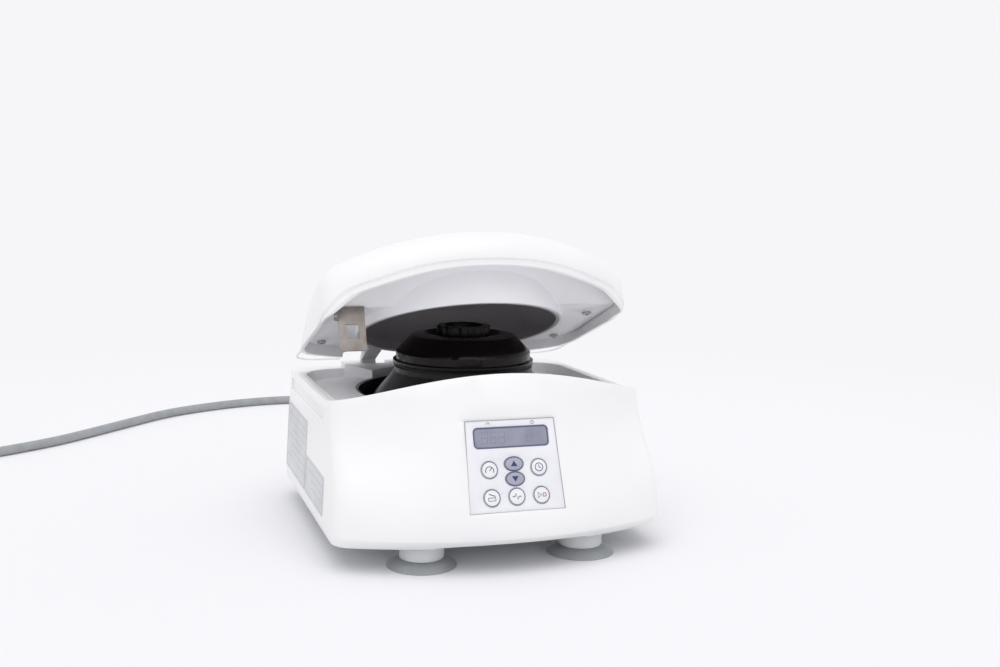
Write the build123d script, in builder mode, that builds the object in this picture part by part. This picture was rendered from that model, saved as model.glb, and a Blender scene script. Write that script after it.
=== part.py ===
from build123d import *
import os
from math import cos, radians, sin, sqrt, tan

os.makedirs("parts", exist_ok=True)

# A bench microcentrifuge with a hinged lid, as separate pieces in millimetres.
# X runs to the right, Y to the back and Z up. The origin lies on the bench under
# the middle of the housing. The lid is drawn closed, then turned about its hinge
# to the angle at which it stands half open.

# Clearances
clearance = 0.3             # between pieces that can be lifted apart
running = 0.05              # radial, a shaft in its bearing

# Housing
housing_width = 210.0
housing_depth = 220.0
front_y = -housing_depth / 2
rear_y = housing_depth / 2
wall = 2.8
inner_rear_y = rear_y - wall
floor_height = 14.7         # underside of the housing above the bench
bulge_height = 21.0         # where the housing is widest
side_draft = 0.05           # each side leans in by this much per millimetre of height
rim_height = 94.2           # top of the side walls at the lid's crease
rim_fall = 2.2              # drop of the side walls from the crease to the back
crease_y = front_y + 78.0   # where the side walls start to rise to the front arch
arch_height = 115.3         # crest of the front
arch_radius = 370.0
arch_plane_y = front_y + 30.0   # plane in which the front arch is drawn
blank_height = 124.0        # height of the shell before its top is cut
front_corner_radius = 15.0
rear_corner_radius = 8.0

# Front of the housing: height, set back in the middle, set back at the corners
front_stations = (
    (floor_height, 8.5, 33.0),
    (bulge_height, 0.45, 28.0),
    (36.5, 2.0, 29.0),
    (50.0, 7.0, 34.0),
    (62.0, 11.5, 43.0),
    (80.0, 18.5, 55.5),
    (95.0, 24.5, 60.0),
    (blank_height, 36.0, 69.0),
)

# Finger recess along each side, under the lid's edge
grip_bottom, grip_top = 79.0, 87.5
grip_front_y, grip_rear_y = crease_y + 4.0, rear_y - 13.0
grip_depth = 1.4

# Rotor, chamber and motor share this upright axis
rotor_y = 11.5
chamber_radius = 71.7
chamber_lip_height = 90.6

# Inner deck, a tray let into the top of the housing
deck_half_width = housing_width / 2 - 8.0
deck_front_y = front_y + 45.5
deck_corner_y = front_y + 64.0
deck_rear_y = rear_y - 10.5
deck_rear_radius = 28.0
deck_front_radius = 8.0
deck_wall = 1.6
deck_floor = 2.0
deck_edge_height = 86.4     # top of the deck's floor beside its walls
deck_ledge = 3.0            # step of the housing that carries the deck
recess_wall = 2.5

# Hinge
hinge_y = rear_y - 8.5
hinge_z = 88.0
lid_open_angle = 21.0
hinge_pin_radius = 2.0
hinge_barrel_radius = 4.5
hinge_arm_x = 45.3          # middle of each arm
hinge_arm_width = 10.6
hinge_bay_half_width = 64.0
hinge_block_front_half = 51.0
hinge_block_height = 96.0
hinge_spring_width = 8.0

# Lid, closed
lid_half_width = housing_width / 2 - 3.5
lid_front_y = front_y + 34.5
lid_corner_y = front_y + 68.0
lid_rear_y = rear_y - 8.5
lid_front_radius = 18.0
lid_rear_radius = 18.0
lid_wall = 2.8
lid_crown_y = lid_front_y + 57.0
lid_crown_height = 148.0
lid_crown_radius = 180.0    # along the lid
lid_camber_radius = 240.0   # across the lid
lid_edge_radius = 19.0
lid_rear_rim_height = 98.6
lid_rim_points = (          # edge of the lid's wall: distance behind the lid's front, height
    (0.0, 121.4), (7.5, 118.0), (13.0, 114.8), (19.0, 112.0), (24.0, 109.6), (27.5, 106.4),
    (30.5, 103.0), (34.0, 100.2), (40.0, 98.0), (48.0, 96.2), (60.0, 94.9),
)
lip_depth = 3.6             # of the lip that hangs inside the edge of the lid's wall
lip_setback = 1.3
liner_height = 102.5
liner_middle_height = 115.8
liner_front_height = 121.5
liner_thickness = 2.0
liner_gap = 1.0             # between the liner and the lid's wall
drum_radius = 70.0
drum_wall = 2.4
drum_mouth_height = liner_height - 5.3

# Latch
striker_x = 18.8 - lid_half_width
striker_y = crease_y - 1.0
striker_width = 16.6
striker_thickness = 1.6
striker_bottom = liner_height - 28.0
striker_hole_width = 8.2
striker_hole_height = 9.4
bolt_width = 6.6
bolt_thickness = 2.3
bolt_travel = 9.0

# Keypad, on a flat that leans back
panel_lean = 20.4
panel_y = front_y + 13.75
panel_z = 62.4
panel_height = 55.2
panel_top_width = 56.3
panel_bottom_width = 59.9
panel_sink = 1.7            # floor of the pocket behind the panel's face
panel_backing = 3.9         # back of the shell behind the panel's face
panel_thickness = 1.2
key_radius = 5.2
key_pitch_x = 15.5
key_row_low = -18.6
key_row_high = -2.0
arrow_high = 0.8
arrow_low = -8.1
arrow_size = (12.0, 8.4)
key_proud = 0.5
key_travel = 0.5
key_stem_radius = 1.9
lcd_width, lcd_height = 47.0, 12.4
lcd_offset = 17.0           # middle of the display above the panel's middle

# Base plate and feet
plate_recess = 0.8
plate_thickness = 2.5
plate_bottom = floor_height + plate_recess
plate_top = plate_bottom + plate_thickness
foot_x = 51.3
foot_ys = (front_y + 32.5, rear_y - 30.0)
foot_radius = 13.6
cup_radius = 21.2
cup_height = 5.0
boss_x = housing_width / 2 - 13.5
boss_ys = (front_y + 80.0, rear_y - 22.0)
boss_radius = 5.0
boss_height = 40.0
screw_radius = 1.5
lid_screw_length = 5.0      # above the liner's underside, clear of the lid's rounded edge

# Motor and shaft
shaft_radius = 4.0
motor_radius = 29.0
motor_mount_height = 5.0
motor_mount_circle = 26.0
motor_flange_radius = 34.0
motor_flange = 3.0
motor_length = 20.0
bearing_radius = 9.0
bearing_width = 6.0

# Chamber bowl
bowl_wall = 1.5
bowl_floor_height = 52.0
bowl_flange_radius = 77.0
bowl_corner_radius = 12.0

# Rotor
tube_count = 12
tube_hole_radius = 5.6
tube_angle = 45.0
tube_mouth_r, tube_mouth_z = 32.0, 96.0
tube_depth = 38.0
rotor_rim_radius = 46.5
rotor_rim_height = 106.5

# Rotor lid and knob
rotor_lid_radius = 47.0
rotor_lid_bottom = 108.0
rotor_lid_wall = 2.0
knob_radius = 17.7
knob_bottom = 124.0
knob_top = 133.3
knob_flutes = 12
knob_stem_radius = 6.0

# Mains inlet, switch and cord
inlet_x = 32.0
switch_x = -8.0
mains_z = 38.0
rear_pocket_depth = 2.0
rear_backing = 5.0
inlet_size = (27.0, 20.0)
socket_size = (24.4, 16.8)
socket_depth = 15.0
switch_size = (13.0, 19.4)
cord_radius = 3.9
coil_center = (-372.0, 299.0)
coil_inner_radius, coil_outer_radius, coil_height = 24.0, 46.0, 15.6

hinge_axis = Axis((0, hinge_y, hinge_z), (1, 0, 0))
rotor_axis = Axis((0, rotor_y, 0), (0, 0, 1))
panel_plane = Plane(
    origin=(0, panel_y, panel_z),
    x_dir=(1, 0, 0),
    z_dir=(0, -cos(radians(panel_lean)), sin(radians(panel_lean))),
)
rotor_section = Plane(origin=(0, rotor_y, 0), x_dir=(1, 0, 0), z_dir=(0, -1, 0))


def save(piece, name):
    """Labels a finished piece and writes it."""
    piece.label = name
    export_step(piece, f"parts/{name}.step")


def open_lid(piece):
    """Turns a piece drawn with the lid closed to the angle at which the lid stands."""
    return piece.rotate(hinge_axis, -lid_open_angle)


def bowed_outline(half_width, front, corner, rear):
    """A plan outline with a straight back and sides and a bowed front."""
    with BuildLine() as outline:
        ThreePointArc((-half_width, corner), (0, front), (half_width, corner))
        Polyline((half_width, corner), (half_width, rear), (-half_width, rear), (-half_width, corner))
    make_face(outline.edges())


def housing_section(height, middle, corner, inset=0.0):
    """Adds the housing's plan outline at one height."""
    half_width = housing_width / 2 - side_draft * abs(height - bulge_height) - inset
    with BuildSketch(Plane.XY.offset(height)) as section:
        bowed_outline(half_width, front_y + middle + inset, front_y + corner + inset, rear_y - inset)
        fillet(section.vertices().group_by(Axis.Y)[-1], rear_corner_radius - inset)
        fillet(section.vertices().group_by(Axis.Y)[0], front_corner_radius - inset)
    add(section.sketch)


def deck_outline(height, inset, bay_rear):
    """Adds the plan outline of the deck's recess, with the hinge bay behind it."""
    with BuildSketch(Plane.XY.offset(height)) as outline:
        bowed_outline(deck_half_width - inset, deck_front_y + inset, deck_corner_y + inset, deck_rear_y - inset)
        fillet(outline.vertices().group_by(Axis.Y)[-1], deck_rear_radius - inset)
        fillet(outline.vertices().group_by(Axis.Y)[0], deck_front_radius - min(inset, deck_ledge))
        with Locations((0, (deck_rear_y - deck_rear_radius + bay_rear) / 2)):
            Rectangle(2 * (hinge_bay_half_width - inset), bay_rear - deck_rear_y + deck_rear_radius)
    add(outline.sketch)


def arch_point(x, crest):
    """A point of the front arch, in the arch's own upright plane."""
    return x, crest - arch_radius + sqrt(arch_radius**2 - x**2)


def ramp_profile(plane_y, crest, curved, far_height, half_width=130.0):
    """One end of the ramp between the crease and the front arch, closed at far_height."""
    with BuildSketch(Plane.XZ.offset(-plane_y)) as profile:
        with BuildLine():
            if curved:
                ends = arch_point(half_width, crest)[1]
                ThreePointArc((-half_width, ends), (0, crest), (half_width, ends))
            else:
                ends = crest
                Line((-half_width, ends), (half_width, ends))
            Polyline((half_width, ends), (half_width, far_height), (-half_width, far_height), (-half_width, ends))
        make_face()
    add(profile.sketch)


def parting_solid(crease_height, rear_height, crest, far_height, mode=Mode.ADD):
    """The space between the parting surface of lid and housing and a level far_height."""
    ramp_profile(crease_y, crease_height, False, far_height)
    ramp_profile(arch_plane_y, crest, True, far_height)
    loft(ruled=True, mode=mode)
    with BuildSketch(Plane.YZ) as side:
        with BuildLine():
            Polyline(
                (crease_y, crease_height), (rear_y + 10, rear_height),
                (rear_y + 10, far_height), (crease_y, far_height), close=True,
            )
        make_face()
    extrude(side.sketch, amount=130, both=True, mode=mode)


# Upper housing: a moulded shell, open below, with a recess for the deck on top
with BuildPart() as housing_cavity:
    housing_section(floor_height - 2, *front_stations[0][1:], inset=wall)
    for station in front_stations[1:]:
        housing_section(*station, inset=wall)
    loft()
    parting_solid(
        rim_height - wall, rim_height - rim_fall - wall, arch_height - wall, 160, mode=Mode.SUBTRACT
    )
    deck_bottom = deck_edge_height - deck_floor
    ledge_bottom = deck_bottom - recess_wall
    deck_outline(ledge_bottom, -recess_wall, inner_rear_y + recess_wall)
    extrude(amount=blank_height - ledge_bottom, mode=Mode.SUBTRACT)
    # Solid backing behind the keypad and behind the mains fittings
    with BuildSketch(panel_plane.offset(-panel_backing)):
        Rectangle(panel_bottom_width + 8, panel_height + 10)
    extrude(amount=20, mode=Mode.SUBTRACT)
    with BuildSketch(Plane.XZ.offset(-rear_y)):
        with Locations(((inlet_x + switch_x) / 2, mains_z)):
            Rectangle(88, 40)
    extrude(amount=rear_backing, mode=Mode.SUBTRACT)
    # Screw bosses for the base plate
    with BuildSketch(Plane.XY.offset(plate_top)):
        with Locations([(sx * boss_x, y) for sx in (-1, 1) for y in boss_ys]):
            Circle(boss_radius)
        with Locations([(sx * (boss_x + 7), y) for sx in (-1, 1) for y in boss_ys]):
            Rectangle(14, 3)
    extrude(amount=boss_height, mode=Mode.SUBTRACT)

with BuildPart() as upper_housing:
    for station in front_stations[:2]:
        housing_section(*station)
    loft(ruled=True)
    for station in front_stations[1:]:
        housing_section(*station)
    loft()
    parting_solid(rim_height, rim_height - rim_fall, arch_height, 160, mode=Mode.SUBTRACT)
    add(housing_cavity.part, mode=Mode.SUBTRACT)
    # Recess for the deck, and the opening under it
    deck_outline(deck_bottom, 0.0, inner_rear_y)
    extrude(amount=blank_height, mode=Mode.SUBTRACT)
    deck_outline(ledge_bottom - 1, deck_ledge, inner_rear_y - deck_ledge)
    extrude(amount=blank_height, mode=Mode.SUBTRACT)
    # Gap in the back wall for the hinge bay
    with BuildSketch(Plane.XY.offset(deck_bottom)):
        with Locations((0, rear_y)):
            Rectangle(2 * hinge_bay_half_width, 4 * wall)
    extrude(amount=blank_height, mode=Mode.SUBTRACT)
    # Room for the hinge arms as they swing back
    slot_width = hinge_arm_width + hinge_spring_width + 4 * clearance
    with BuildSketch(Plane.XY.offset(hinge_z - hinge_barrel_radius - 5 * clearance)):
        with Locations([(side * (hinge_arm_x - hinge_spring_width / 2), rear_y - 5) for side in (-1, 1)]):
            Rectangle(slot_width, 20)
    extrude(amount=20, mode=Mode.SUBTRACT)
    # Finger recesses along both sides
    grip_middle = (grip_front_y + grip_rear_y) / 2
    grip_half_width = housing_width / 2 - side_draft * (grip_top - bulge_height) - grip_depth
    for side in (-1, 1):
        with BuildSketch(Plane.YZ.offset(side * (grip_half_width + 5))) as grip:
            with Locations((grip_middle, (grip_bottom + grip_top) / 2)):
                Rectangle(grip_rear_y - grip_front_y, grip_top - grip_bottom)
        extrude(amount=5, both=True, mode=Mode.SUBTRACT)
    # Keypad pocket, and the scoop above it that runs out in the bowed front
    with BuildSketch(panel_plane.offset(-panel_sink)) as pocket:
        Trapezoid(panel_bottom_width, panel_height, 88.13)
    extrude(amount=12, mode=Mode.SUBTRACT)
    scoop_plane = Plane(
        panel_plane.offset(-panel_sink).from_local_coords(Vector(0, panel_height / 2, 0)),
        x_dir=(1, 0, 0),
        z_dir=(0, -cos(radians(panel_lean - 26)), sin(radians(panel_lean - 26))),
    )
    with BuildSketch(scoop_plane):
        with Locations((0, 10)):
            Rectangle(90, 20)
    extrude(amount=12, mode=Mode.SUBTRACT)
    # Openings for the display and the key stems
    with BuildSketch(panel_plane.offset(-panel_backing - 1)):
        with Locations((0, lcd_offset)):
            Rectangle(lcd_width + 2, lcd_height + 1)
        with Locations([(x * key_pitch_x, key_row_low) for x in (-1, 0, 1)]):
            Circle(key_stem_radius + clearance)
        with Locations([(x * key_pitch_x, key_row_high) for x in (-1, 1)]):
            Circle(key_stem_radius + clearance)
        with Locations((0, arrow_high), (0, arrow_low)):
            Circle(key_stem_radius + clearance)
    extrude(amount=4, mode=Mode.SUBTRACT)
    # Shallow rear pocket with the cut-outs for inlet and switch
    with BuildSketch(Plane.XZ.offset(-rear_y)):
        with Locations(((inlet_x + switch_x) / 2, mains_z)):
            RectangleRounded(80, 32, 3)
    extrude(amount=rear_pocket_depth, mode=Mode.SUBTRACT)
    with BuildSketch(Plane.XZ.offset(-rear_y)):
        with Locations((inlet_x, mains_z)):
            Rectangle(inlet_size[0] + 2 * clearance, inlet_size[1] + 2 * clearance)
        with Locations((switch_x, mains_z)):
            Rectangle(switch_size[0] + 2 * clearance, switch_size[1] + 2 * clearance)
    extrude(amount=rear_backing + 1, mode=Mode.SUBTRACT)
    # Cooling slots beside them
    with BuildSketch(Plane.XZ.offset(-rear_y)):
        with Locations((-60, 42)):
            with GridLocations(7, 0, 6, 1):
                SlotOverall(26, 3, rotation=90)
        with Locations((78, 42)):
            with GridLocations(7, 0, 3, 1):
                SlotOverall(26, 3, rotation=90)
    extrude(amount=wall + 1, mode=Mode.SUBTRACT)
    # Screw holes in the bosses
    with BuildSketch(Plane.XY.offset(plate_top)):
        with Locations([(sx * boss_x, y) for sx in (-1, 1) for y in boss_ys]):
            Circle(screw_radius)
    extrude(amount=12, mode=Mode.SUBTRACT)
save(upper_housing.part, "upper_housing")

# Inner deck: a tray with a coned floor, the hinge block and the striker's slot
with BuildPart() as deck_pocket:
    deck_outline(deck_bottom, clearance + deck_wall, deck_rear_y)
    extrude(amount=60)
    with BuildSketch(rotor_section):
        with BuildLine():
            lip = chamber_radius
            far = 150.0
            slope = (chamber_lip_height - deck_edge_height) / 34.0
            Polyline(
                (0, chamber_lip_height), (lip, chamber_lip_height), (far, chamber_lip_height - slope * (far - lip)),
                (far, 160), (0, 160), close=True,
            )
        make_face()
    revolve(axis=rotor_axis, mode=Mode.INTERSECT)


def cone_height(x, y):
    """Height of the deck's coned floor at a point of the plan."""
    return chamber_lip_height - slope * (sqrt(x**2 + (y - rotor_y)**2) - chamber_radius)


with BuildPart() as deck_underside:
    deck_outline(deck_bottom - 10, clearance + deck_wall + deck_ledge, deck_rear_y - 10)
    extrude(amount=60)
    with BuildSketch(rotor_section):
        with BuildLine():
            Polyline(
                (0, 40), (0, chamber_lip_height - deck_floor), (lip, chamber_lip_height - deck_floor),
                (far, chamber_lip_height - slope * (far - lip) - deck_floor), (far, 40), close=True,
            )
        make_face()
    revolve(axis=rotor_axis, mode=Mode.INTERSECT)

with BuildPart() as inner_deck:
    deck_outline(deck_bottom, clearance, rear_y - clearance)
    extrude(amount=blank_height - deck_bottom)
    parting_solid(rim_height, rim_height - rim_fall, rim_height, 160, mode=Mode.SUBTRACT)
    add(deck_pocket.part, mode=Mode.SUBTRACT)
    with BuildSketch(Plane.XY.offset(deck_bottom)):
        with BuildLine():
            Polyline(
                (-hinge_block_front_half, rotor_y + 40), (hinge_block_front_half, rotor_y + 40),
                (hinge_block_front_half, rotor_y + 50), (hinge_bay_half_width - clearance, deck_rear_y - 4),
                (hinge_bay_half_width - clearance, rear_y - clearance),
                (-hinge_bay_half_width + clearance, rear_y - clearance),
                (-hinge_bay_half_width + clearance, deck_rear_y - 4), (-hinge_block_front_half, rotor_y + 50),
                close=True,
            )
        make_face()
    extrude(amount=hinge_block_height - deck_bottom)
    add(deck_underside.part, mode=Mode.SUBTRACT)
    with BuildSketch(Plane.XY.offset(deck_bottom - 20)):
        with Locations((0, rotor_y)):
            Circle(chamber_radius)
    extrude(amount=80, mode=Mode.SUBTRACT)
    # Slots for the hinge arms and their springs, open to the back
    for side in (-1, 1):
        slot_x = side * (hinge_arm_x - hinge_spring_width / 2)
        with BuildSketch(Plane.XY.offset(hinge_z - hinge_barrel_radius - clearance)):
            with Locations((slot_x, rear_y - 7)):
                Rectangle(slot_width, 16)
        extrude(amount=40, mode=Mode.SUBTRACT)
        pin_length = slot_width + 10
        with BuildSketch(Plane.YZ.offset(slot_x)):
            with Locations((hinge_y, hinge_z)):
                Circle(hinge_pin_radius)
        extrude(amount=pin_length / 2, both=True, mode=Mode.SUBTRACT)
    # Slot for the striker
    with BuildSketch(Plane.XY.offset(deck_bottom - 20)):
        with Locations((striker_x, striker_y)):
            RectangleRounded(striker_width + 4, 8, 1)
    extrude(amount=80, mode=Mode.SUBTRACT)
save(inner_deck.part, "inner_deck")

# Hinge pins and springs, held in the deck's hinge block
for side, word in ((-1, "left"), (1, "right")):
    slot_x = side * (hinge_arm_x - hinge_spring_width / 2)
    with BuildPart() as hinge_pin:
        with BuildSketch(Plane.YZ.offset(slot_x)):
            with Locations((hinge_y, hinge_z)):
                Circle(hinge_pin_radius)
        extrude(amount=pin_length / 2, both=True)
    save(hinge_pin.part, f"hinge_pin_{word}")
    spring_x = side * (hinge_arm_x - hinge_arm_width / 2 - clearance - hinge_spring_width / 2)
    with BuildPart() as hinge_spring:
        with BuildSketch(Plane.YZ.offset(spring_x)):
            with Locations((hinge_y, hinge_z)):
                Circle(hinge_barrel_radius - clearance)
                Circle(hinge_pin_radius, mode=Mode.SUBTRACT)
        extrude(amount=hinge_spring_width / 2 - clearance, both=True)
    save(hinge_spring.part, f"hinge_spring_{word}")

# Chamber bowl, hung under the deck
bowl_radius = chamber_radius - clearance
bowl_inner_radius = bowl_radius - bowl_wall
bowl_flange_top = cone_height(0, rotor_y + bowl_flange_radius) - deck_floor - 0.2
with BuildPart() as chamber_bowl:
    with BuildSketch(rotor_section) as bowl_profile:
        with BuildLine():
            Polyline(
                (12, bowl_floor_height - bowl_wall), (bowl_radius, bowl_floor_height - bowl_wall),
                (bowl_radius, chamber_lip_height - 0.4), (bowl_inner_radius, chamber_lip_height - 0.4),
                (bowl_inner_radius, bowl_floor_height), (12, bowl_floor_height), close=True,
            )
        make_face()
        fillet(bowl_profile.vertices().filter_by_position(Axis.Y, bowl_floor_height - bowl_wall - 0.1,
               bowl_floor_height - bowl_wall + 0.1).sort_by(Axis.X)[-1], bowl_corner_radius + bowl_wall)
        fillet(bowl_profile.vertices().filter_by_position(Axis.Y, bowl_floor_height - 0.1,
               bowl_floor_height + 0.1).sort_by(Axis.X)[-1], bowl_corner_radius)
    revolve(axis=rotor_axis)
    with BuildPart(mode=Mode.PRIVATE) as bowl_flange:
        deck_outline(bowl_flange_top - 2, 2 * clearance + deck_wall + deck_ledge, deck_rear_y - 10)
        extrude(amount=2)
        with BuildSketch(Plane.XY.offset(bowl_flange_top - 2)):
            with Locations((0, rotor_y)):
                Circle(bowl_flange_radius)
                Circle(bowl_radius - 0.3, mode=Mode.SUBTRACT)
        extrude(amount=2, mode=Mode.INTERSECT)
    add(bowl_flange.part)
save(chamber_bowl.part, "chamber_bowl")

# Rubber seal between the bowl's floor and the motor's neck
with BuildPart() as bowl_seal:
    with BuildSketch(rotor_section):
        with BuildLine():
            Polyline(
                (shaft_radius + 0.3, bowl_floor_height), (15, bowl_floor_height), (15, bowl_floor_height + 1.2),
                (9, bowl_floor_height + 4), (shaft_radius + 0.3, bowl_floor_height + 4), close=True,
            )
        make_face()
    revolve(axis=rotor_axis)
save(bowl_seal.part, "bowl_seal")

# Motor on three rubber mounts
motor_bottom = plate_top + motor_mount_height
motor_top = motor_bottom + motor_flange + motor_length
with BuildPart() as motor:
    with BuildSketch(rotor_section):
        with BuildLine():
            inner = shaft_radius + 1
            neck = bearing_radius + 2
            Polyline(
                (inner, motor_bottom), (motor_flange_radius, motor_bottom),
                (motor_flange_radius, motor_bottom + motor_flange), (motor_radius, motor_bottom + motor_flange),
                (motor_radius, motor_top - 2), (motor_radius - 2, motor_top), (neck, motor_top),
                (neck, motor_top + 2.5), (bearing_radius, motor_top + 2.5),
                (bearing_radius, motor_top + 2.5 - bearing_width), (inner, motor_top + 2.5 - bearing_width),
                close=True,
            )
        make_face()
        with Locations(((inner + bearing_radius) / 2, motor_bottom + bearing_width / 2)):
            Rectangle(bearing_radius - inner, bearing_width, mode=Mode.SUBTRACT)
    revolve(axis=rotor_axis)
save(motor.part, "motor")

with BuildPart() as motor_bearings:
    for bottom in (motor_bottom, motor_top + 2.5 - bearing_width):
        with BuildSketch(Plane.XY.offset(bottom)):
            with Locations((0, rotor_y)):
                Circle(bearing_radius)
                Circle(shaft_radius + running, mode=Mode.SUBTRACT)
        extrude(amount=bearing_width)
save(motor_bearings.part, "motor_bearings")

with BuildPart() as motor_mounts:
    with BuildSketch(Plane.XY.offset(plate_top)):
        with Locations((0, rotor_y)):
            with PolarLocations(motor_mount_circle, 3, start_angle=90):
                Circle(6)
    extrude(amount=motor_mount_height)
save(motor_mounts.part, "motor_mounts")

# Shaft, with a stud on top for the rotor lid's knob
hub_top = 84.0
nut_height = 5.0
stud_radius = 3.0
stud_top = 112.0
with BuildPart() as motor_shaft:
    with BuildSketch(rotor_section):
        with BuildLine():
            Polyline(
                (0, motor_bottom - 2), (shaft_radius, motor_bottom - 2), (shaft_radius, hub_top),
                (stud_radius, hub_top), (stud_radius, stud_top), (0, stud_top), close=True,
            )
        make_face()
    revolve(axis=rotor_axis)
save(motor_shaft.part, "motor_shaft")

# Fixed-angle rotor with its ring of tube holes
funnel = tube_mouth_z - tube_mouth_r
with BuildPart() as rotor:
    with BuildSketch(rotor_section):
        with BuildLine():
            Polyline(
                (shaft_radius, 60), (14, 60), (17, 62), (54, 62), (62, 64.5), (66.5, 70), (66.5, 77),
                (58.6, 88), (rotor_rim_radius, rotor_rim_height - 3.5), (rotor_rim_radius, rotor_rim_height),
                (rotor_rim_height - funnel, rotor_rim_height), (22, 22 + funnel), (12, hub_top),
                (shaft_radius, hub_top), close=True,
            )
        make_face()
    revolve(axis=rotor_axis)
    tube_tilt = radians(tube_angle)
    for index in range(tube_count):
        turn = radians(360 / tube_count * index)
        outward = Vector(cos(turn), sin(turn), 0)
        mouth = outward * tube_mouth_r + Vector(0, rotor_y, tube_mouth_z)
        inward = outward * -sin(tube_tilt) + Vector(0, 0, cos(tube_tilt))
        with BuildSketch(Plane(mouth + inward * 6, z_dir=inward)):
            Circle(tube_hole_radius)
        extrude(amount=-tube_depth - 6, mode=Mode.SUBTRACT)
save(rotor.part, "rotor")

with BuildPart() as rotor_nut:
    with BuildSketch(Plane.XY.offset(hub_top)):
        with Locations((0, rotor_y)):
            RegularPolygon(6.5, 6, major_radius=False)
            Circle(stud_radius, mode=Mode.SUBTRACT)
    extrude(amount=nut_height)
save(rotor_nut.part, "rotor_nut")

# Rotor lid: a flanged dome with three finger notches
with BuildPart() as rotor_lid_seal:
    with BuildSketch(Plane.XY.offset(rotor_rim_height)):
        with Locations((0, rotor_y)):
            Circle(rotor_rim_radius - 1.2)
            Circle(rotor_rim_radius - 4, mode=Mode.SUBTRACT)
    extrude(amount=rotor_lid_bottom - rotor_rim_height)
save(rotor_lid_seal.part, "rotor_lid_seal")

with BuildPart() as rotor_lid:
    with BuildSketch(rotor_section) as dome_profile:
        with BuildLine():
            Polyline(
                (knob_stem_radius + running, knob_bottom - 1 - rotor_lid_wall), (23, knob_bottom - 1 - rotor_lid_wall),
                (27, 126), (33, 125), (42.6, 115.5), (42.6, 111), (40, 110.2), (40, rotor_lid_bottom),
                (rotor_lid_radius, rotor_lid_bottom), (rotor_lid_radius, 110.6), (45, 111.4),
                (45, 116), (34.5, 126.8), (26, 128.4), (22, knob_bottom - 1),
                (knob_stem_radius + running, knob_bottom - 1), close=True,
            )
        make_face()
    revolve(axis=rotor_axis)
    with BuildSketch(Plane.XY.offset(111.4)):
        with Locations((0, rotor_y)):
            with PolarLocations(rotor_lid_radius, 3, start_angle=-102):
                Rectangle(5.4, 15)
    extrude(amount=7, mode=Mode.SUBTRACT)
save(rotor_lid.part, "rotor_lid")

# Fluted knob, screwed on the shaft's stud through the rotor lid
with BuildPart() as rotor_lid_knob:
    with BuildSketch(Plane.XY.offset(knob_bottom - 0.8)):
        with Locations((0, rotor_y)):
            Circle(knob_radius)
            with PolarLocations(knob_radius + 1.6, knob_flutes):
                Circle(3.2, mode=Mode.SUBTRACT)
    extrude(amount=knob_top - knob_bottom + 0.8)
    with BuildSketch(Plane.XY.offset(knob_top)):
        with Locations((0, rotor_y)):
            Circle(knob_radius - 4.5)
    extrude(amount=-5, taper=12, mode=Mode.SUBTRACT)
    with BuildSketch(Plane.XY.offset(96)):
        with Locations((0, rotor_y)):
            Circle(knob_stem_radius)
    extrude(amount=knob_bottom - 96)
    with BuildSketch(Plane.XY.offset(118.8)):
        with Locations((0, rotor_y)):
            Circle(knob_stem_radius + 3)
    extrude(amount=knob_bottom - 1 - rotor_lid_wall - clearance - 118.8)
    with BuildSketch(Plane.XY.offset(96)):
        with Locations((0, rotor_y)):
            Circle(stud_radius + running)
    extrude(amount=stud_top + 1 - 96, mode=Mode.SUBTRACT)
save(rotor_lid_knob.part, "rotor_lid_knob")

# Base plate with cooling slots and screw holes
with BuildPart() as base_plate:
    housing_section(plate_bottom, *front_stations[0][1:], inset=wall + clearance + 0.8)
    extrude(amount=plate_thickness)
    with BuildSketch(Plane.XY.offset(plate_bottom)):
        with Locations([(sx * boss_x, y) for sx in (-1, 1) for y in boss_ys]):
            Circle(screw_radius + 0.2)
        with Locations([(sx * foot_x, y) for sx in (-1, 1) for y in foot_ys]):
            Circle(3.2)
        with Locations((0, rotor_y)):
            with PolarLocations(14, 6):
                SlotOverall(12, 3)
    extrude(amount=plate_thickness, mode=Mode.SUBTRACT)
    with BuildSketch(Plane.XY.offset(plate_bottom)):
        with Locations([(sx * boss_x, y) for sx in (-1, 1) for y in boss_ys]):
            Circle(3.2)
    extrude(amount=1.2, mode=Mode.SUBTRACT)
save(base_plate.part, "base_plate")

with BuildPart() as housing_screws:
    for sx in (-1, 1):
        for y in boss_ys:
            with BuildSketch(Plane.XY.offset(plate_bottom - 0.6)):
                with Locations((sx * boss_x, y)):
                    Circle(2.9)
            extrude(amount=1.8)
            with BuildSketch(Plane.XY.offset(plate_bottom + 1.2)):
                with Locations((sx * boss_x, y)):
                    Circle(screw_radius)
            extrude(amount=10)
save(housing_screws.part, "housing_screws")

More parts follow.
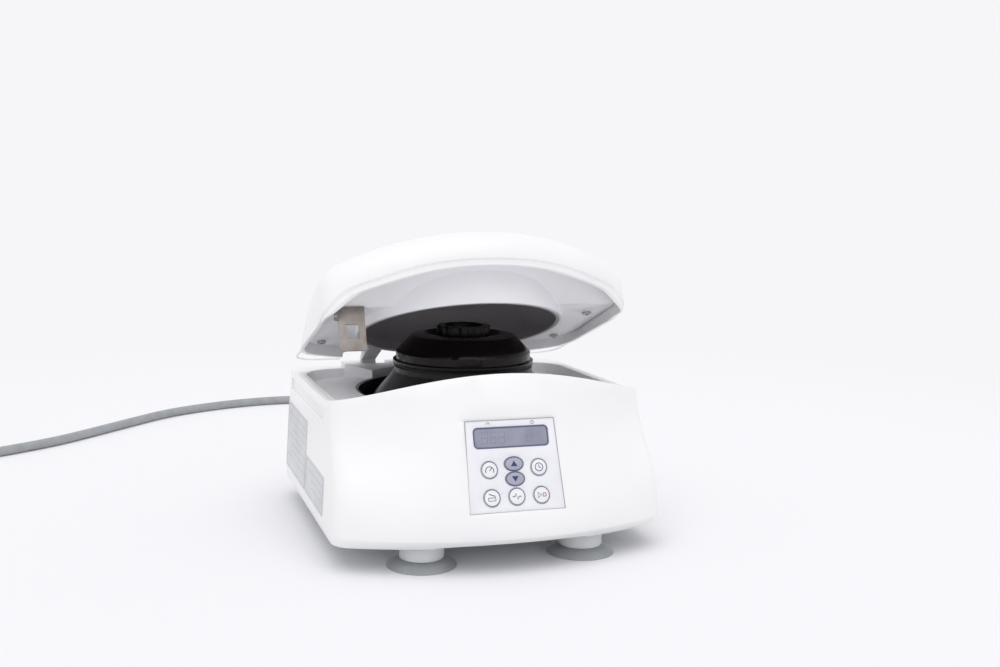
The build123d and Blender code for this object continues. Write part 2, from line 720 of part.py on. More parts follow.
# Feet: a plastic post, and a rubber suction cup plugged into its foot end
for y, end in zip(foot_ys, ("front", "rear")):
    for sx, word in ((-1, "left"), (1, "right")):
        foot_section = Plane(origin=(sx * foot_x, y, 0), x_dir=(1, 0, 0), z_dir=(0, -1, 0))
        foot_axis = Axis((sx * foot_x, y, 0), (0, 0, 1))
        with BuildPart() as foot:
            with BuildSketch(foot_section):
                with BuildLine():
                    Polyline(
                        (0, cup_height + 3.2), (4.2, cup_height + 3.2), (4.2, cup_height), (foot_radius - 0.6, cup_height),
                        (foot_radius, cup_height + 0.6), (foot_radius, plate_bottom), (3, plate_bottom),
                        (3, plate_top + 1.5), (0, plate_top + 1.5), close=True,
                    )
                make_face()
            revolve(axis=foot_axis)
        save(foot.part, f"foot_{end}_{word}")
        with BuildPart() as cup:
            with BuildSketch(foot_section):
                with BuildLine():
                    l1 = Polyline((0, 3.0), (8, 2.8), (15, 1.8), (cup_radius - 1.4, 0), (cup_radius, 0))
                    l2 = Polyline(
                        (cup_radius, 0), (cup_radius, 0.7), (16, 3.6), (12, cup_height), (4, cup_height),
                        (4, cup_height + 3), (0, cup_height + 3), (0, 3.0),
                    )
                make_face()
            revolve(axis=foot_axis)
        save(cup.part, f"suction_cup_{end}_{word}")

# Keypad overlay, display and keys on the panel's own plane
round_keys = {
    "speed_key": (-key_pitch_x, key_row_high),
    "time_key": (key_pitch_x, key_row_high),
    "door_key": (-key_pitch_x, key_row_low),
    "pulse_key": (0, key_row_low),
    "start_key": (key_pitch_x, key_row_low),
}
arrow_keys = {"up_key": (0, arrow_high), "down_key": (0, arrow_low)}
overlay_top = -panel_sink + panel_thickness
with BuildPart() as panel_overlay:
    with BuildSketch(panel_plane.offset(-panel_sink)):
        Trapezoid(panel_bottom_width - 2 * clearance, panel_height - 2 * clearance, 88.13)
        with Locations((0, lcd_offset)):
            RectangleRounded(lcd_width, lcd_height, 2.5, mode=Mode.SUBTRACT)
        with Locations(list(round_keys.values())):
            Circle(key_radius + clearance, mode=Mode.SUBTRACT)
        with Locations(list(arrow_keys.values())):
            Ellipse(arrow_size[0] / 2 + clearance, arrow_size[1] / 2 + clearance, mode=Mode.SUBTRACT)
    extrude(amount=panel_thickness)
save(panel_overlay.part, "panel_overlay")

with BuildPart() as lcd_window:
    with BuildSketch(panel_plane.offset(-panel_sink)):
        with Locations((0, lcd_offset)):
            RectangleRounded(lcd_width - 0.2, lcd_height - 0.2, 2.4)
    extrude(amount=panel_thickness - 0.2)
save(lcd_window.part, "lcd_window")

key_bottom = -panel_sink + key_travel + 0.1
switch_top = -panel_backing - 1.0
stem_bottom = switch_top + key_travel + 0.1
board_top = switch_top - 3.0
board_thickness = 1.6


def key_cap(place, shape):
    """A key cap with a rounded edge, on a stem through the shell."""
    with BuildSketch(panel_plane.offset(key_bottom)) as cap:
        with Locations(place):
            if shape == "round":
                Circle(key_radius)
            else:
                Ellipse(arrow_size[0] / 2, arrow_size[1] / 2)
    extrude(cap.sketch, amount=overlay_top + key_proud - key_bottom)
    with BuildSketch(panel_plane.offset(stem_bottom)) as stem:
        with Locations(place):
            Circle(key_stem_radius)
    extrude(stem.sketch, amount=key_bottom - stem_bottom)


for shape, keys in (("round", round_keys), ("oval", arrow_keys)):
    for name, place in keys.items():
        with BuildPart() as key:
            key_cap(place, shape)
        save(key.part, name)

with BuildPart() as lcd_module:
    with BuildSketch(panel_plane.offset(board_top)):
        with Locations((0, lcd_offset)):
            Rectangle(lcd_width + 1, lcd_height)
    extrude(amount=-panel_sink - board_top - 0.1)
save(lcd_module.part, "lcd_module")

with BuildPart() as control_board:
    with BuildSketch(panel_plane.offset(board_top - board_thickness)):
        Rectangle(56, 57)
    extrude(amount=board_thickness)
    with BuildSketch(panel_plane.offset(board_top)):
        with Locations(list(round_keys.values()) + list(arrow_keys.values())):
            Rectangle(5.4, 5.4)
    extrude(amount=2.2)
    with BuildSketch(panel_plane.offset(board_top)):
        with Locations(list(round_keys.values()) + list(arrow_keys.values())):
            Circle(1.6)
    extrude(amount=switch_top - board_top)
    with BuildSketch(panel_plane.offset(board_top - board_thickness)):
        with Locations((-12, 4)):
            Rectangle(16, 14)
        with Locations((16, -8)):
            Rectangle(10, 22)
    extrude(amount=-3)
save(control_board.part, "control_board")

with BuildPart() as board_posts:
    with BuildSketch(panel_plane.offset(board_top)):
        with Locations([(sx * 25, sy * 25.7) for sx in (-1, 1) for sy in (-1, 1)]):
            Circle(2.2)
    extrude(amount=-panel_backing - board_top)
save(board_posts.part, "board_posts")

# Power board on four posts behind the motor
board_x, board_y = 60.0, 60.0
with BuildPart() as power_board:
    with BuildSketch(Plane.XY.offset(plate_top + 6)):
        with Locations((board_x, board_y)):
            Rectangle(48, 76)
    extrude(amount=1.6)
    for x, y, width, depth, height in ((56, 74, 22, 26, 20), (76, 76, 12, 18, 24), (74, 44, 18, 14, 12), (46, 38, 9, 20, 8)):
        with BuildSketch(Plane.XY.offset(plate_top + 7.6)):
            with Locations((x, y)):
                Rectangle(width, depth)
        extrude(amount=height)
    with BuildSketch(Plane.XY.offset(plate_top)):
        with Locations((board_x, board_y)):
            with GridLocations(40, 68, 2, 2):
                Circle(2.5)
    extrude(amount=6)
save(power_board.part, "power_board")

# Mains inlet and rocker switch in the rear pocket
pocket_y = rear_y - rear_pocket_depth
flange_thickness = 1.8
with BuildPart() as mains_inlet:
    with BuildSketch(Plane.XZ.offset(-pocket_y - flange_thickness)):
        with Locations((inlet_x, mains_z)):
            RectangleRounded(31, 25, 2)
    extrude(amount=flange_thickness)
    with BuildSketch(Plane.XZ.offset(-pocket_y)):
        with Locations((inlet_x, mains_z)):
            Rectangle(*inlet_size)
    extrude(amount=18)
    with BuildSketch(Plane.XZ.offset(-pocket_y - flange_thickness)):
        with Locations((inlet_x, mains_z)):
            Rectangle(*socket_size)
    extrude(amount=socket_depth, mode=Mode.SUBTRACT)
    with BuildSketch(Plane.XZ.offset(-pocket_y - flange_thickness + socket_depth)):
        with Locations((inlet_x - 7, mains_z - 2), (inlet_x, mains_z + 2), (inlet_x + 7, mains_z - 2)):
            Rectangle(2, 4)
    extrude(amount=-socket_depth + 3)
save(mains_inlet.part, "mains_inlet")

rocker_size = (9.6, 15.6)
rocker_radius = 9.0
rocker_axis_y = pocket_y + flange_thickness - 5.0
with BuildPart() as switch_frame:
    with BuildSketch(Plane.XZ.offset(-pocket_y - flange_thickness)):
        with Locations((switch_x, mains_z)):
            RectangleRounded(15.4, 21.8, 1)
    extrude(amount=flange_thickness)
    with BuildSketch(Plane.XZ.offset(-pocket_y)):
        with Locations((switch_x, mains_z)):
            Rectangle(*switch_size)
    extrude(amount=18)
    with BuildSketch(Plane.XZ.offset(-pocket_y - flange_thickness)):
        with Locations((switch_x, mains_z)):
            Rectangle(rocker_size[0] + 2 * clearance, rocker_size[1] + 4 * clearance)
    extrude(amount=15, mode=Mode.SUBTRACT)
    with BuildSketch(Plane.YZ.offset(switch_x)):
        with Locations((rocker_axis_y, mains_z)):
            Circle(1.2)
    extrude(amount=rocker_size[0] / 2 + clearance + 1, both=True)
save(switch_frame.part, "switch_frame")

with BuildPart() as power_rocker:
    with BuildSketch(Plane.YZ.offset(switch_x)):
        with Locations((rocker_axis_y, mains_z)):
            Circle(rocker_size[1] / 2)
    extrude(amount=rocker_size[0] / 2, both=True)
    with BuildSketch(Plane.XZ.offset(-rocker_axis_y + 2)):
        with Locations((switch_x, mains_z)):
            Rectangle(30, 30)
    extrude(amount=30, mode=Mode.SUBTRACT)
    with BuildSketch(Plane.YZ.offset(switch_x)):
        with BuildLine():
            Polyline(
                (rocker_axis_y + 4.9, mains_z + 8), (rocker_axis_y + 3.6, mains_z), (rocker_axis_y + 6.4, mains_z - 9),
                (rocker_axis_y + 12, mains_z - 9), (rocker_axis_y + 12, mains_z + 8), close=True,
            )
        make_face()
    extrude(amount=30, both=True, mode=Mode.SUBTRACT)
    with BuildSketch(Plane.YZ.offset(switch_x)):
        with Locations((rocker_axis_y, mains_z)):
            Circle(1.2 + running)
    extrude(amount=30, both=True, mode=Mode.SUBTRACT)
save(power_rocker.part, "power_rocker")

# Latch: a guide under the deck, a solenoid and its bolt
deck_under = cone_height(striker_x, striker_y) - deck_floor
bolt_top = deck_under - 4 * clearance
bolt_bottom = bolt_top - bolt_thickness
striker_hole_bottom = bolt_bottom - clearance
guide_front_y, guide_rear_y = striker_y - 6.2, striker_y + 8.0
guide_half_width = striker_width / 2 + 2.3
guide_top = deck_bottom - clearance
with BuildPart() as latch_guide:
    with BuildSketch(Plane.XY.offset(striker_bottom - 3)):
        with Locations((striker_x, (guide_front_y + guide_rear_y) / 2)):
            Rectangle(2 * guide_half_width, guide_rear_y - guide_front_y)
    extrude(amount=guide_top - striker_bottom + 3)
    with BuildSketch(Plane.XY.offset(striker_bottom - 1.5)):
        with Locations((striker_x, striker_y)):
            Rectangle(striker_width + 2, 8)
    extrude(amount=40, mode=Mode.SUBTRACT)
    with BuildSketch(Plane.XZ.offset(-guide_rear_y)):
        with Locations((striker_x, bolt_bottom - clearance + 5)):
            Rectangle(bolt_width + 2 * clearance, 10)
    extrude(amount=guide_rear_y - guide_front_y, mode=Mode.SUBTRACT)
save(latch_guide.part, "latch_guide")

solenoid_z = 72.0
solenoid_radius = 7.0
solenoid_x = striker_x - 2.0
plunger_radius = 2.5
solenoid_front_y, solenoid_rear_y = -6.0, 26.0
with BuildPart() as latch_solenoid:
    with BuildSketch(Plane.XZ.offset(-solenoid_front_y)):
        with Locations((solenoid_x, solenoid_z)):
            Circle(solenoid_radius)
            Circle(plunger_radius + running, mode=Mode.SUBTRACT)
    extrude(amount=solenoid_front_y - solenoid_rear_y)
    with BuildSketch(Plane.XZ.offset(-solenoid_front_y)):
        with Locations((solenoid_x, solenoid_z + 3.2)):
            Rectangle(12, 21.2)
        with Locations((solenoid_x, solenoid_z)):
            Circle(plunger_radius + running, mode=Mode.SUBTRACT)
    extrude(amount=-2)
save(latch_solenoid.part, "latch_solenoid")

with BuildPart() as latch_bolt:
    blade_front = guide_rear_y - 5.0
    with BuildSketch(Plane.XZ.offset(-blade_front)):
        with Locations((striker_x, (bolt_bottom + bolt_top) / 2)):
            Rectangle(bolt_width, bolt_thickness)
    extrude(amount=blade_front - solenoid_front_y + 3)
    with BuildSketch(Plane.XZ.offset(-solenoid_front_y + 6)):
        with Locations((striker_x - 1.6, (solenoid_z - 2.5 + bolt_top) / 2)):
            Rectangle(bolt_width + 3, bolt_top - solenoid_z + 2.5)
    extrude(amount=3)
    with BuildSketch(Plane.XZ.offset(-solenoid_front_y + 6)):
        with Locations((solenoid_x, solenoid_z)):
            Circle(plunger_radius)
    extrude(amount=-26)
save(latch_bolt.part, "latch_bolt")


def lid_outline(height, inset, mode=Mode.ADD):
    """Adds the lid's plan outline."""
    with BuildSketch(Plane.XY.offset(height)) as outline:
        bowed_outline(
            lid_half_width - inset, lid_front_y + inset, lid_corner_y + inset, lid_rear_y - inset
        )
        fillet(outline.vertices().group_by(Axis.Y)[-1], lid_rear_radius - inset)
        fillet(outline.vertices().group_by(Axis.Y)[0], lid_front_radius - inset)
    add(outline.sketch, mode=mode)


def lid_blank(inset):
    """Adds the lid's outer form, or its inner form when inset, still uncut below."""
    lid_outline(55, inset)
    extrude(amount=120)
    camber, crown = lid_camber_radius - inset, lid_crown_height - inset
    half_width = 130.0
    edge = crown - camber + sqrt(camber**2 - half_width**2)
    center = crown - (lid_crown_radius - inset)
    with BuildSketch(Plane.XZ.offset(-lid_crown_y)) as crown_profile:
        with BuildLine():
            ThreePointArc((-half_width, edge), (0, crown), (half_width, edge))
            Polyline((half_width, edge), (half_width, center), (-half_width, center), (-half_width, edge))
        make_face()
    revolve(crown_profile.sketch, axis=Axis((0, lid_crown_y, center), (1, 0, 0)), mode=Mode.INTERSECT)


def round_lid_edge(builder, inset):
    """Rounds the edge between the lid's crown and its sides."""
    top = builder.faces().sort_by(Axis.Z)[-1]
    fillet(top.edges(), lid_edge_radius - inset)


def below_rim(points, rear_height, mode):
    """The space under a rim whose height depends only on the distance behind the lid's front."""
    route = [(lid_front_y + back, height) for back, height in points]
    with BuildSketch(Plane.YZ) as side:
        with BuildLine():
            Spline(*route)
            Polyline(
                route[-1], (rear_y + 10, rear_height), (rear_y + 10, 20), (lid_front_y - 10, 20),
                (lid_front_y - 10, route[0][1]), route[0],
            )
        make_face()
    extrude(side.sketch, amount=130, both=True, mode=mode)


with BuildPart() as lid_inside:
    lid_blank(lid_wall)
    round_lid_edge(lid_inside, lid_wall)

with BuildPart() as liner_limit:
    lid_blank(lid_wall + liner_gap)
    round_lid_edge(liner_limit, lid_wall + liner_gap)

# Lip inside the edge of the lid's wall, which closes the gap over the housing's front
lip_floor = rim_height + 4 * clearance
lip_points = [(back, max(height - lip_depth, lip_floor)) for back, height in lid_rim_points]
lip_root_points = [(back, height + 1) for back, height in lid_rim_points]
with BuildPart() as lid_lip:
    with BuildSketch(Plane.XY.offset(60)) as lip_ring:
        lid_outline(60, lip_setback)
        lid_outline(60, lid_wall, mode=Mode.SUBTRACT)
    extrude(lip_ring.sketch, amount=90)
    below_rim(lip_root_points, lid_rear_rim_height + 1, Mode.INTERSECT)
    below_rim(lip_points, lid_rear_rim_height, Mode.SUBTRACT)

screw_x, screw_ys = lid_half_width - 15.5, (crease_y + 24.0, lid_rear_y - 43.5)
screw_places = [(side * screw_x, y) for side in (-1, 1) for y in screw_ys]
liner_top = liner_height + liner_thickness

# Lid shell with four screw bosses inside
with BuildPart() as lid_shell:
    lid_blank(0.0)
    round_lid_edge(lid_shell, 0.0)
    add(lid_inside.part, mode=Mode.SUBTRACT)
    with BuildPart(mode=Mode.PRIVATE) as bosses:
        with BuildSketch(Plane.XY.offset(liner_top)):
            with Locations(screw_places):
                Circle(4)
                Circle(screw_radius, mode=Mode.SUBTRACT)
        extrude(amount=60)
        add(lid_inside.part, mode=Mode.INTERSECT)
    add(bosses.part)
    below_rim(lid_rim_points, lid_rear_rim_height, Mode.SUBTRACT)
    add(lid_lip.part)
    with BuildSketch(Plane.XY.offset(60)):
        with Locations((0, lid_rear_y)):
            Rectangle(2 * hinge_bay_half_width + 4, 32)
    extrude(amount=liner_top - 60, mode=Mode.SUBTRACT)
save(open_lid(lid_shell.part), "lid_shell")

# Liner: a sheet that rises in a curve from the crease to the lid's front, with the round drum
liner_middle_y = (crease_y + lid_front_y) / 2 + 1.5
with BuildPart() as lid_liner:
    with BuildSketch(Plane.YZ) as sheet:
        with BuildLine():
            for lift in (0.0, liner_thickness):
                ThreePointArc(
                    (lid_front_y, liner_front_height + lift), (liner_middle_y, liner_middle_height + lift),
                    (crease_y, liner_height + lift),
                )
                Line((crease_y, liner_height + lift), (lid_rear_y, liner_height + lift))
            Line((lid_front_y, liner_front_height), (lid_front_y, liner_front_height + liner_thickness))
            Line((lid_rear_y, liner_height), (lid_rear_y, liner_top))
        make_face()
    extrude(sheet.sketch, amount=130, both=True)
    with BuildSketch(Plane.XY.offset(drum_mouth_height)):
        with Locations((0, rotor_y)):
            Circle(drum_radius)
    extrude(amount=30)
    with BuildSketch(Plane.XY.offset(drum_mouth_height)):
        with Locations((0, rotor_y)):
            Circle(drum_radius - drum_wall)
    extrude(amount=60, mode=Mode.SUBTRACT)
    add(liner_limit.part, mode=Mode.INTERSECT)
    with BuildSketch(Plane.XY.offset(liner_height)):
        with Locations(screw_places):
            Circle(screw_radius + 0.3)
    extrude(amount=20, mode=Mode.SUBTRACT)
save(open_lid(lid_liner.part), "lid_liner")

# Dark dome inside the drum, over the rotor
dome_radius = drum_radius - drum_wall - clearance
dome_bottom = drum_mouth_height + clearance
with BuildPart() as lid_dome:
    with BuildSketch(rotor_section):
        with BuildLine():
            Polyline(
                (dome_radius, dome_bottom), (dome_radius, 103.6),
                (50, 124.3), (30, 133.4), (20, 137.2), (0, 137.2),
            )
            Polyline(
                (dome_radius - 1.5, dome_bottom), (dome_radius - 1.5, 103),
                (49, 123), (29.3, 132), (19.5, 135.7), (0, 135.7),
            )
            Line((dome_radius, dome_bottom), (dome_radius - 1.5, dome_bottom))
            Line((0, 137.2), (0, 135.7))
        make_face()
    revolve(axis=rotor_axis)
save(open_lid(lid_dome.part), "lid_dome")

with BuildPart() as lid_screws:
    for x, y in screw_places:
        with BuildSketch(Plane.XY.offset(liner_height - 1.8)):
            with Locations((x, y)):
                Circle(2.9)
        extrude(amount=1.8)
        with BuildSketch(Plane.XY.offset(liner_height)):
            with Locations((x, y)):
                Circle(screw_radius)
        extrude(amount=lid_screw_length)
save(open_lid(lid_screws.part), "lid_screws")

# Striker: a bent steel tab with a square hole and a curled lower edge
with BuildPart() as striker:
    with BuildSketch(Plane.XZ.offset(-striker_y)):
        with Locations((striker_x, (striker_bottom + liner_height) / 2)):
            Rectangle(striker_width, liner_height - striker_bottom)
        with Locations((striker_x, striker_hole_bottom + striker_hole_height / 2)):
            Rectangle(striker_hole_width, striker_hole_height, mode=Mode.SUBTRACT)
    extrude(amount=striker_thickness / 2, both=True)
    fillet(striker.edges().filter_by(Axis.Y).sort_by(Axis.Z)[:2], 3)
    with BuildSketch(Plane.XY.offset(liner_height - striker_thickness)):
        with Locations((striker_x, striker_y + 7)):
            Rectangle(striker_width, 14)
    extrude(amount=striker_thickness)
save(open_lid(striker.part), "striker")

# Hinge arms: a pad under the liner, a neck and a barrel on the pin
for side, word in ((-1, "left"), (1, "right")):
    with BuildPart() as hinge_arm:
        with BuildSketch(Plane.YZ.offset(side * hinge_arm_x)):
            with Locations((hinge_y, hinge_z)):
                Circle(hinge_barrel_radius)
            with BuildLine():
                Polyline(
                    (hinge_y - hinge_barrel_radius, hinge_z), (hinge_y + hinge_barrel_radius, hinge_z),
                    (hinge_y + hinge_barrel_radius, hinge_z + 8), (hinge_y - 6, liner_height),
                    (hinge_y - 29.5, liner_height), (hinge_y - 29.5, liner_height - 3.5),
                    (hinge_y - hinge_barrel_radius, hinge_z + 9), close=True,
                )
            make_face()
            with Locations((hinge_y, hinge_z)):
                Circle(hinge_pin_radius + running, mode=Mode.SUBTRACT)
        extrude(amount=hinge_arm_width / 2, both=True)
    save(open_lid(hinge_arm.part), f"hinge_arm_{word}")

# Mains cord: connector at the inlet, a run along the bench, a coil and the plug
connector_end_y = 158.0
relief_end_y = 184.0
with BuildPart() as mains_connector:
    with BuildSketch(Plane.XZ.offset(-rear_y - 0.2)):
        with Locations((inlet_x, mains_z)):
            RectangleRounded(25.6, 18.6, 4)
    extrude(amount=-(connector_end_y - rear_y) + 12)
    with BuildSketch(Plane.XZ.offset(-connector_end_y + 12)):
        with Locations((inlet_x, mains_z)):
            RectangleRounded(25.6, 18.6, 4)
    with BuildSketch(Plane.XZ.offset(-connector_end_y)):
        with Locations((inlet_x, mains_z)):
            RectangleRounded(14, 13, 4)
    loft()
    with BuildSketch(Plane.XZ.offset(-connector_end_y)):
        with Locations((inlet_x, mains_z)):
            Circle(6.2)
    with BuildSketch(Plane.XZ.offset(-relief_end_y)):
        with Locations((inlet_x, mains_z)):
            Circle(cord_radius + 0.7)
    loft()
    with BuildSketch(Plane.XZ.offset(-rear_y - 0.2)):
        with Locations((inlet_x, mains_z)):
            Rectangle(socket_size[0] - 2 * clearance, socket_size[1] - 2 * clearance)
    extrude(amount=12)
    with BuildSketch(Plane.XZ.offset(-rear_y + 12)):
        with Locations((inlet_x - 7, mains_z - 2), (inlet_x, mains_z + 2), (inlet_x + 7, mains_z - 2)):
            Rectangle(2.8, 4.8)
    extrude(amount=-12, mode=Mode.SUBTRACT)
save(mains_connector.part, "mains_connector")

cord_route = (
    (inlet_x, relief_end_y, mains_z),
    (inlet_x, 204, mains_z),
    (inlet_x + 2, 232, 20),
    (inlet_x + 4, 262, cord_radius),
    (inlet_x + 3, 300, cord_radius),
    (inlet_x + 8, 340, cord_radius),
    (inlet_x + 4, 382, cord_radius),
    (20, 420, cord_radius),
    (-12, 444, cord_radius),
    (-52, 454, cord_radius),
    (-92, 449, cord_radius),
    (-132, 434, cord_radius),
    (-172, 411, cord_radius),
    (-208, 373, cord_radius),
    (-240, 338, cord_radius),
    (-274, 303, cord_radius),
    (-345, 257, cord_radius),
)


def bend_radii(route):
    """The largest arc that the two runs at each corner of a route allow."""
    radii = []
    for before, corner, after in zip(route, route[1:], route[2:]):
        first, second = Vector(*corner) - Vector(*before), Vector(*after) - Vector(*corner)
        turn = radians(first.get_angle(second))
        radii.append(0.45 * min(first.length, second.length) / tan(turn / 2))
    return radii


radii = bend_radii(cord_route)
print("cord bends", [round(radius) for radius in radii])
with BuildPart() as mains_cord:
    with BuildLine() as path:
        FilletPolyline(*cord_route, radius=radii)
    with BuildSketch(Plane(path.line @ 0, z_dir=path.line % 0)):
        Circle(cord_radius)
    sweep()
cord_length = sum(edge.length for edge in path.edges())
print("cord length", round(cord_length), "volume share",
      round(mains_cord.part.volume / (3.14159265 * cord_radius**2 * cord_length), 4))
save(mains_cord.part, "mains_cord")

with BuildPart() as cord_coil:
    with BuildSketch(Plane.XZ.offset(-coil_center[1])) as coil_profile:
        with Locations((coil_center[0] + (coil_inner_radius + coil_outer_radius) / 2, coil_height / 2)):
            Rectangle(coil_outer_radius - coil_inner_radius, coil_height)
        chamfer(coil_profile.vertices(), 4)
    revolve(axis=Axis((*coil_center, 0), (0, 0, 1)))
save(cord_coil.part, "cord_coil")

plug_x = coil_center[0] - 30.0
plug_start_y = coil_center[1] + 38.9
plug_z = 18.5
with BuildPart() as mains_plug:
    with BuildSketch(Plane.XZ.offset(-plug_start_y)):
        with Locations((plug_x, cord_radius + 4)):
            Circle(cord_radius + 1)
    with BuildSketch(Plane.XZ.offset(-plug_start_y - 24)):
        with Locations((plug_x, plug_z - 6)):
            Circle(8)
    loft()
    with BuildSketch(Plane.XZ.offset(-plug_start_y - 24)):
        with Locations((plug_x, plug_z)):
            Circle(18.5)
    extrude(amount=-30)
    with BuildSketch(Plane.XZ.offset(-plug_start_y - 54)):
        with Locations((plug_x - 9.5, plug_z), (plug_x + 9.5, plug_z)):
            Circle(2.4)
    extrude(amount=-19)
save(mains_plug.part, "mains_plug")
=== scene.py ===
"""Looks of the bench microcentrifuge: materials, keypad print, label plates, cord, light and camera."""

import math

import bmesh
import bpy
from mathutils import Matrix, Vector


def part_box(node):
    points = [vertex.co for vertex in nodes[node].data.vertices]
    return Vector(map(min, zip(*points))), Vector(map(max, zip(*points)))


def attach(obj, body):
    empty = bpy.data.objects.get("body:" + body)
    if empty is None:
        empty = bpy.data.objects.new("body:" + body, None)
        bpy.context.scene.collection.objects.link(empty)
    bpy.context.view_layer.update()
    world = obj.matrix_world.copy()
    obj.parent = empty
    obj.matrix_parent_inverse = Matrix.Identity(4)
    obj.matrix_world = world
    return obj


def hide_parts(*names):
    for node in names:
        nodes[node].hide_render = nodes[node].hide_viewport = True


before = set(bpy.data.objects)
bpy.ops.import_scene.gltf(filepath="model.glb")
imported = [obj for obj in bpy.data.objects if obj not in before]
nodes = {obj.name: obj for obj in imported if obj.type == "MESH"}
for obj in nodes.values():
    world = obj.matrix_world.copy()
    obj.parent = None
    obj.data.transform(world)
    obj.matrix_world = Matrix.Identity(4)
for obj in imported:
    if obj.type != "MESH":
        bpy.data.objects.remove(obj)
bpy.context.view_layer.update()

MM = 0.001

spindle_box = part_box("rotor")
spindle_y = (spindle_box[0][1] + spindle_box[1][1]) / 2

# Places shared with the solids, in millimetres
panel_lean = math.radians(20.4)
panel_height = 54.6
panel_center = Vector((0, -96.25, 62.4)) * MM
overlay_face = -0.5  # front of the overlay, behind the panel's plane
key_face = 0.0  # front of the keys, on the panel's plane
key_radius = 5.2
arrow_half = (6.0, 4.2)  # half the width and height of the oval arrow keys
keys = {
    "speed_key": (-15.5, -2.0),
    "time_key": (15.5, -2.0),
    "door_key": (-15.5, -18.6),
    "pulse_key": (0, -18.6),
    "start_key": (15.5, -18.6),
}
arrows = {"up_key": ((0, 0.8), 1), "down_key": ((0, -8.1), -1)}
display_center, display_size = (0, 17.0), (46.6, 12.0)

hinge = Vector((0, 101.5, 88.0)) * MM
lid_angle = math.radians(21.0)
lid_place = Matrix.Translation(hinge) @ Matrix.Rotation(-lid_angle, 4, "X") @ Matrix.Translation(-hinge)


# Materials


def linear(hex_colour):
    """An sRGB hex value as linear RGBA."""
    channels = [int(hex_colour[i : i + 2], 16) / 255 for i in (1, 3, 5)]
    return [c / 12.92 if c <= 0.04045 else ((c + 0.055) / 1.055) ** 2.4 for c in channels] + [1.0]


def node(tree, kind, inputs=None, **settings):
    """Adds a shader node with its settings and inputs. An input is a value or another node's output."""
    made = tree.nodes.new(kind)
    for name, value in settings.items():
        setattr(made, name, value)
    for name, value in (inputs or {}).items():
        if isinstance(value, bpy.types.NodeSocket):
            tree.links.new(value, made.inputs[name])
        else:
            made.inputs[name].default_value = value
    return made


def finish_base(name, colour, roughness, **sockets):
    """A new material with one Principled shader: (material, tree, shader)."""
    material = bpy.data.materials.new(name)
    material.use_nodes = True
    tree = material.node_tree
    shader = tree.nodes["Principled BSDF"]
    shader.inputs["Base Color"].default_value = linear(colour)
    shader.inputs["Roughness"].default_value = roughness
    for socket, value in sockets.items():
        shader.inputs[socket.replace("_", " ").title().replace("Ior", "IOR")].default_value = value
    material.diffuse_color = linear(colour)
    return material, tree, shader


def noise_pattern(tree, size_mm, detail, stretch=(1, 1, 1)):
    """Noise of that real size over the whole surface. It is finer along an axis with a larger stretch."""
    place = node(tree, "ShaderNodeTexCoord")
    stretched = node(tree, "ShaderNodeMapping", {"Vector": place.outputs["Object"], "Scale": stretch})
    noise = node(
        tree, "ShaderNodeTexNoise",
        {"Vector": stretched.outputs["Vector"], "Scale": 1 / (size_mm * MM), "Detail": detail},
    )
    return noise.outputs["Fac"]


def raise_surface(tree, shader, pattern, height_mm):
    """Lifts the surface by a pattern of that real height."""
    bump = node(tree, "ShaderNodeBump", {"Height": pattern, "Distance": height_mm * MM, "Strength": 1.0})
    tree.links.new(bump.outputs["Normal"], shader.inputs["Normal"])


def grain(tree, shader, size_mm, height_mm, stretch=(1, 1, 1)):
    """A raised grain over the whole surface."""
    raise_surface(tree, shader, noise_pattern(tree, size_mm, 3.0, stretch), height_mm)


def clouding(tree, shader, first, second, size_mm, low=0.35, high=0.65):
    """Slow drift between two near colours."""
    ramp = node(tree, "ShaderNodeValToRGB", {"Fac": noise_pattern(tree, size_mm, 2.0)})
    for stop, position, colour in zip(ramp.color_ramp.elements, (low, high), (first, second)):
        stop.position = position
        stop.color = linear(colour)
    tree.links.new(ramp.outputs["Color"], shader.inputs["Base Color"])


def gloss_drift(tree, shader, low, high, size_mm):
    """Roughness that drifts, as where hands have touched it."""
    pattern = noise_pattern(tree, size_mm, 4.0)
    spread = node(tree, "ShaderNodeMapRange", {"Value": pattern, "To Min": low, "To Max": high})
    tree.links.new(spread.outputs["Result"], shader.inputs["Roughness"])


def moulded_white_abs():
    # Injection-moulded ABS in a polished tool: a soft sheen over a very fine texture
    material, tree, shader = finish_base("moulded_white_abs", "#F6F6F7", 0.34, ior=1.53)
    clouding(tree, shader, "#F5F5F6", "#F8F8F8", 60)
    gloss_drift(tree, shader, 0.30, 0.38, 25)
    grain(tree, shader, 0.8, 0.004)
    return material


def moulded_lilac_grey_abs():
    # The same ABS in a pale lilac grey, spark-eroded tool: more matt
    material, tree, shader = finish_base("moulded_lilac_grey_abs", "#EEEEF1", 0.48, ior=1.53)
    clouding(tree, shader, "#ECECEF", "#F0F0F3", 45)
    grain(tree, shader, 0.7, 0.010)
    return material


def moulded_light_grey_abs():
    # Light grey ABS of the deck, even and matt, which looks darker under the lid
    material, tree, shader = finish_base("moulded_light_grey_abs", "#E9E9EB", 0.5, ior=1.53)
    clouding(tree, shader, "#E6E6E8", "#ECECEE", 40)
    grain(tree, shader, 0.7, 0.012)
    return material


def moulded_pale_abs():
    # Pale grey ABS of the feet, base plate and small brackets
    material, tree, shader = finish_base("moulded_pale_abs", "#DADCDE", 0.42, ior=1.53)
    clouding(tree, shader, "#D6D8DA", "#DDDFE1", 30)
    grain(tree, shader, 0.8, 0.008)
    return material


def warm_grey_abs_painted_lighter():
    # Warm grey ABS of the dome over the rotor, with a fine eroded texture. The grey is partly its own
    # colour and partly painted light: it is raised to stand in for the light that reaches under the open
    # lid
    material, tree, shader = finish_base("warm_grey_abs_painted_lighter", "#A7A1A5", 0.5, ior=1.53)
    clouding(tree, shader, "#A09A9F", "#ADA8AC", 50)
    grain(tree, shader, 0.6, 0.012)
    return material


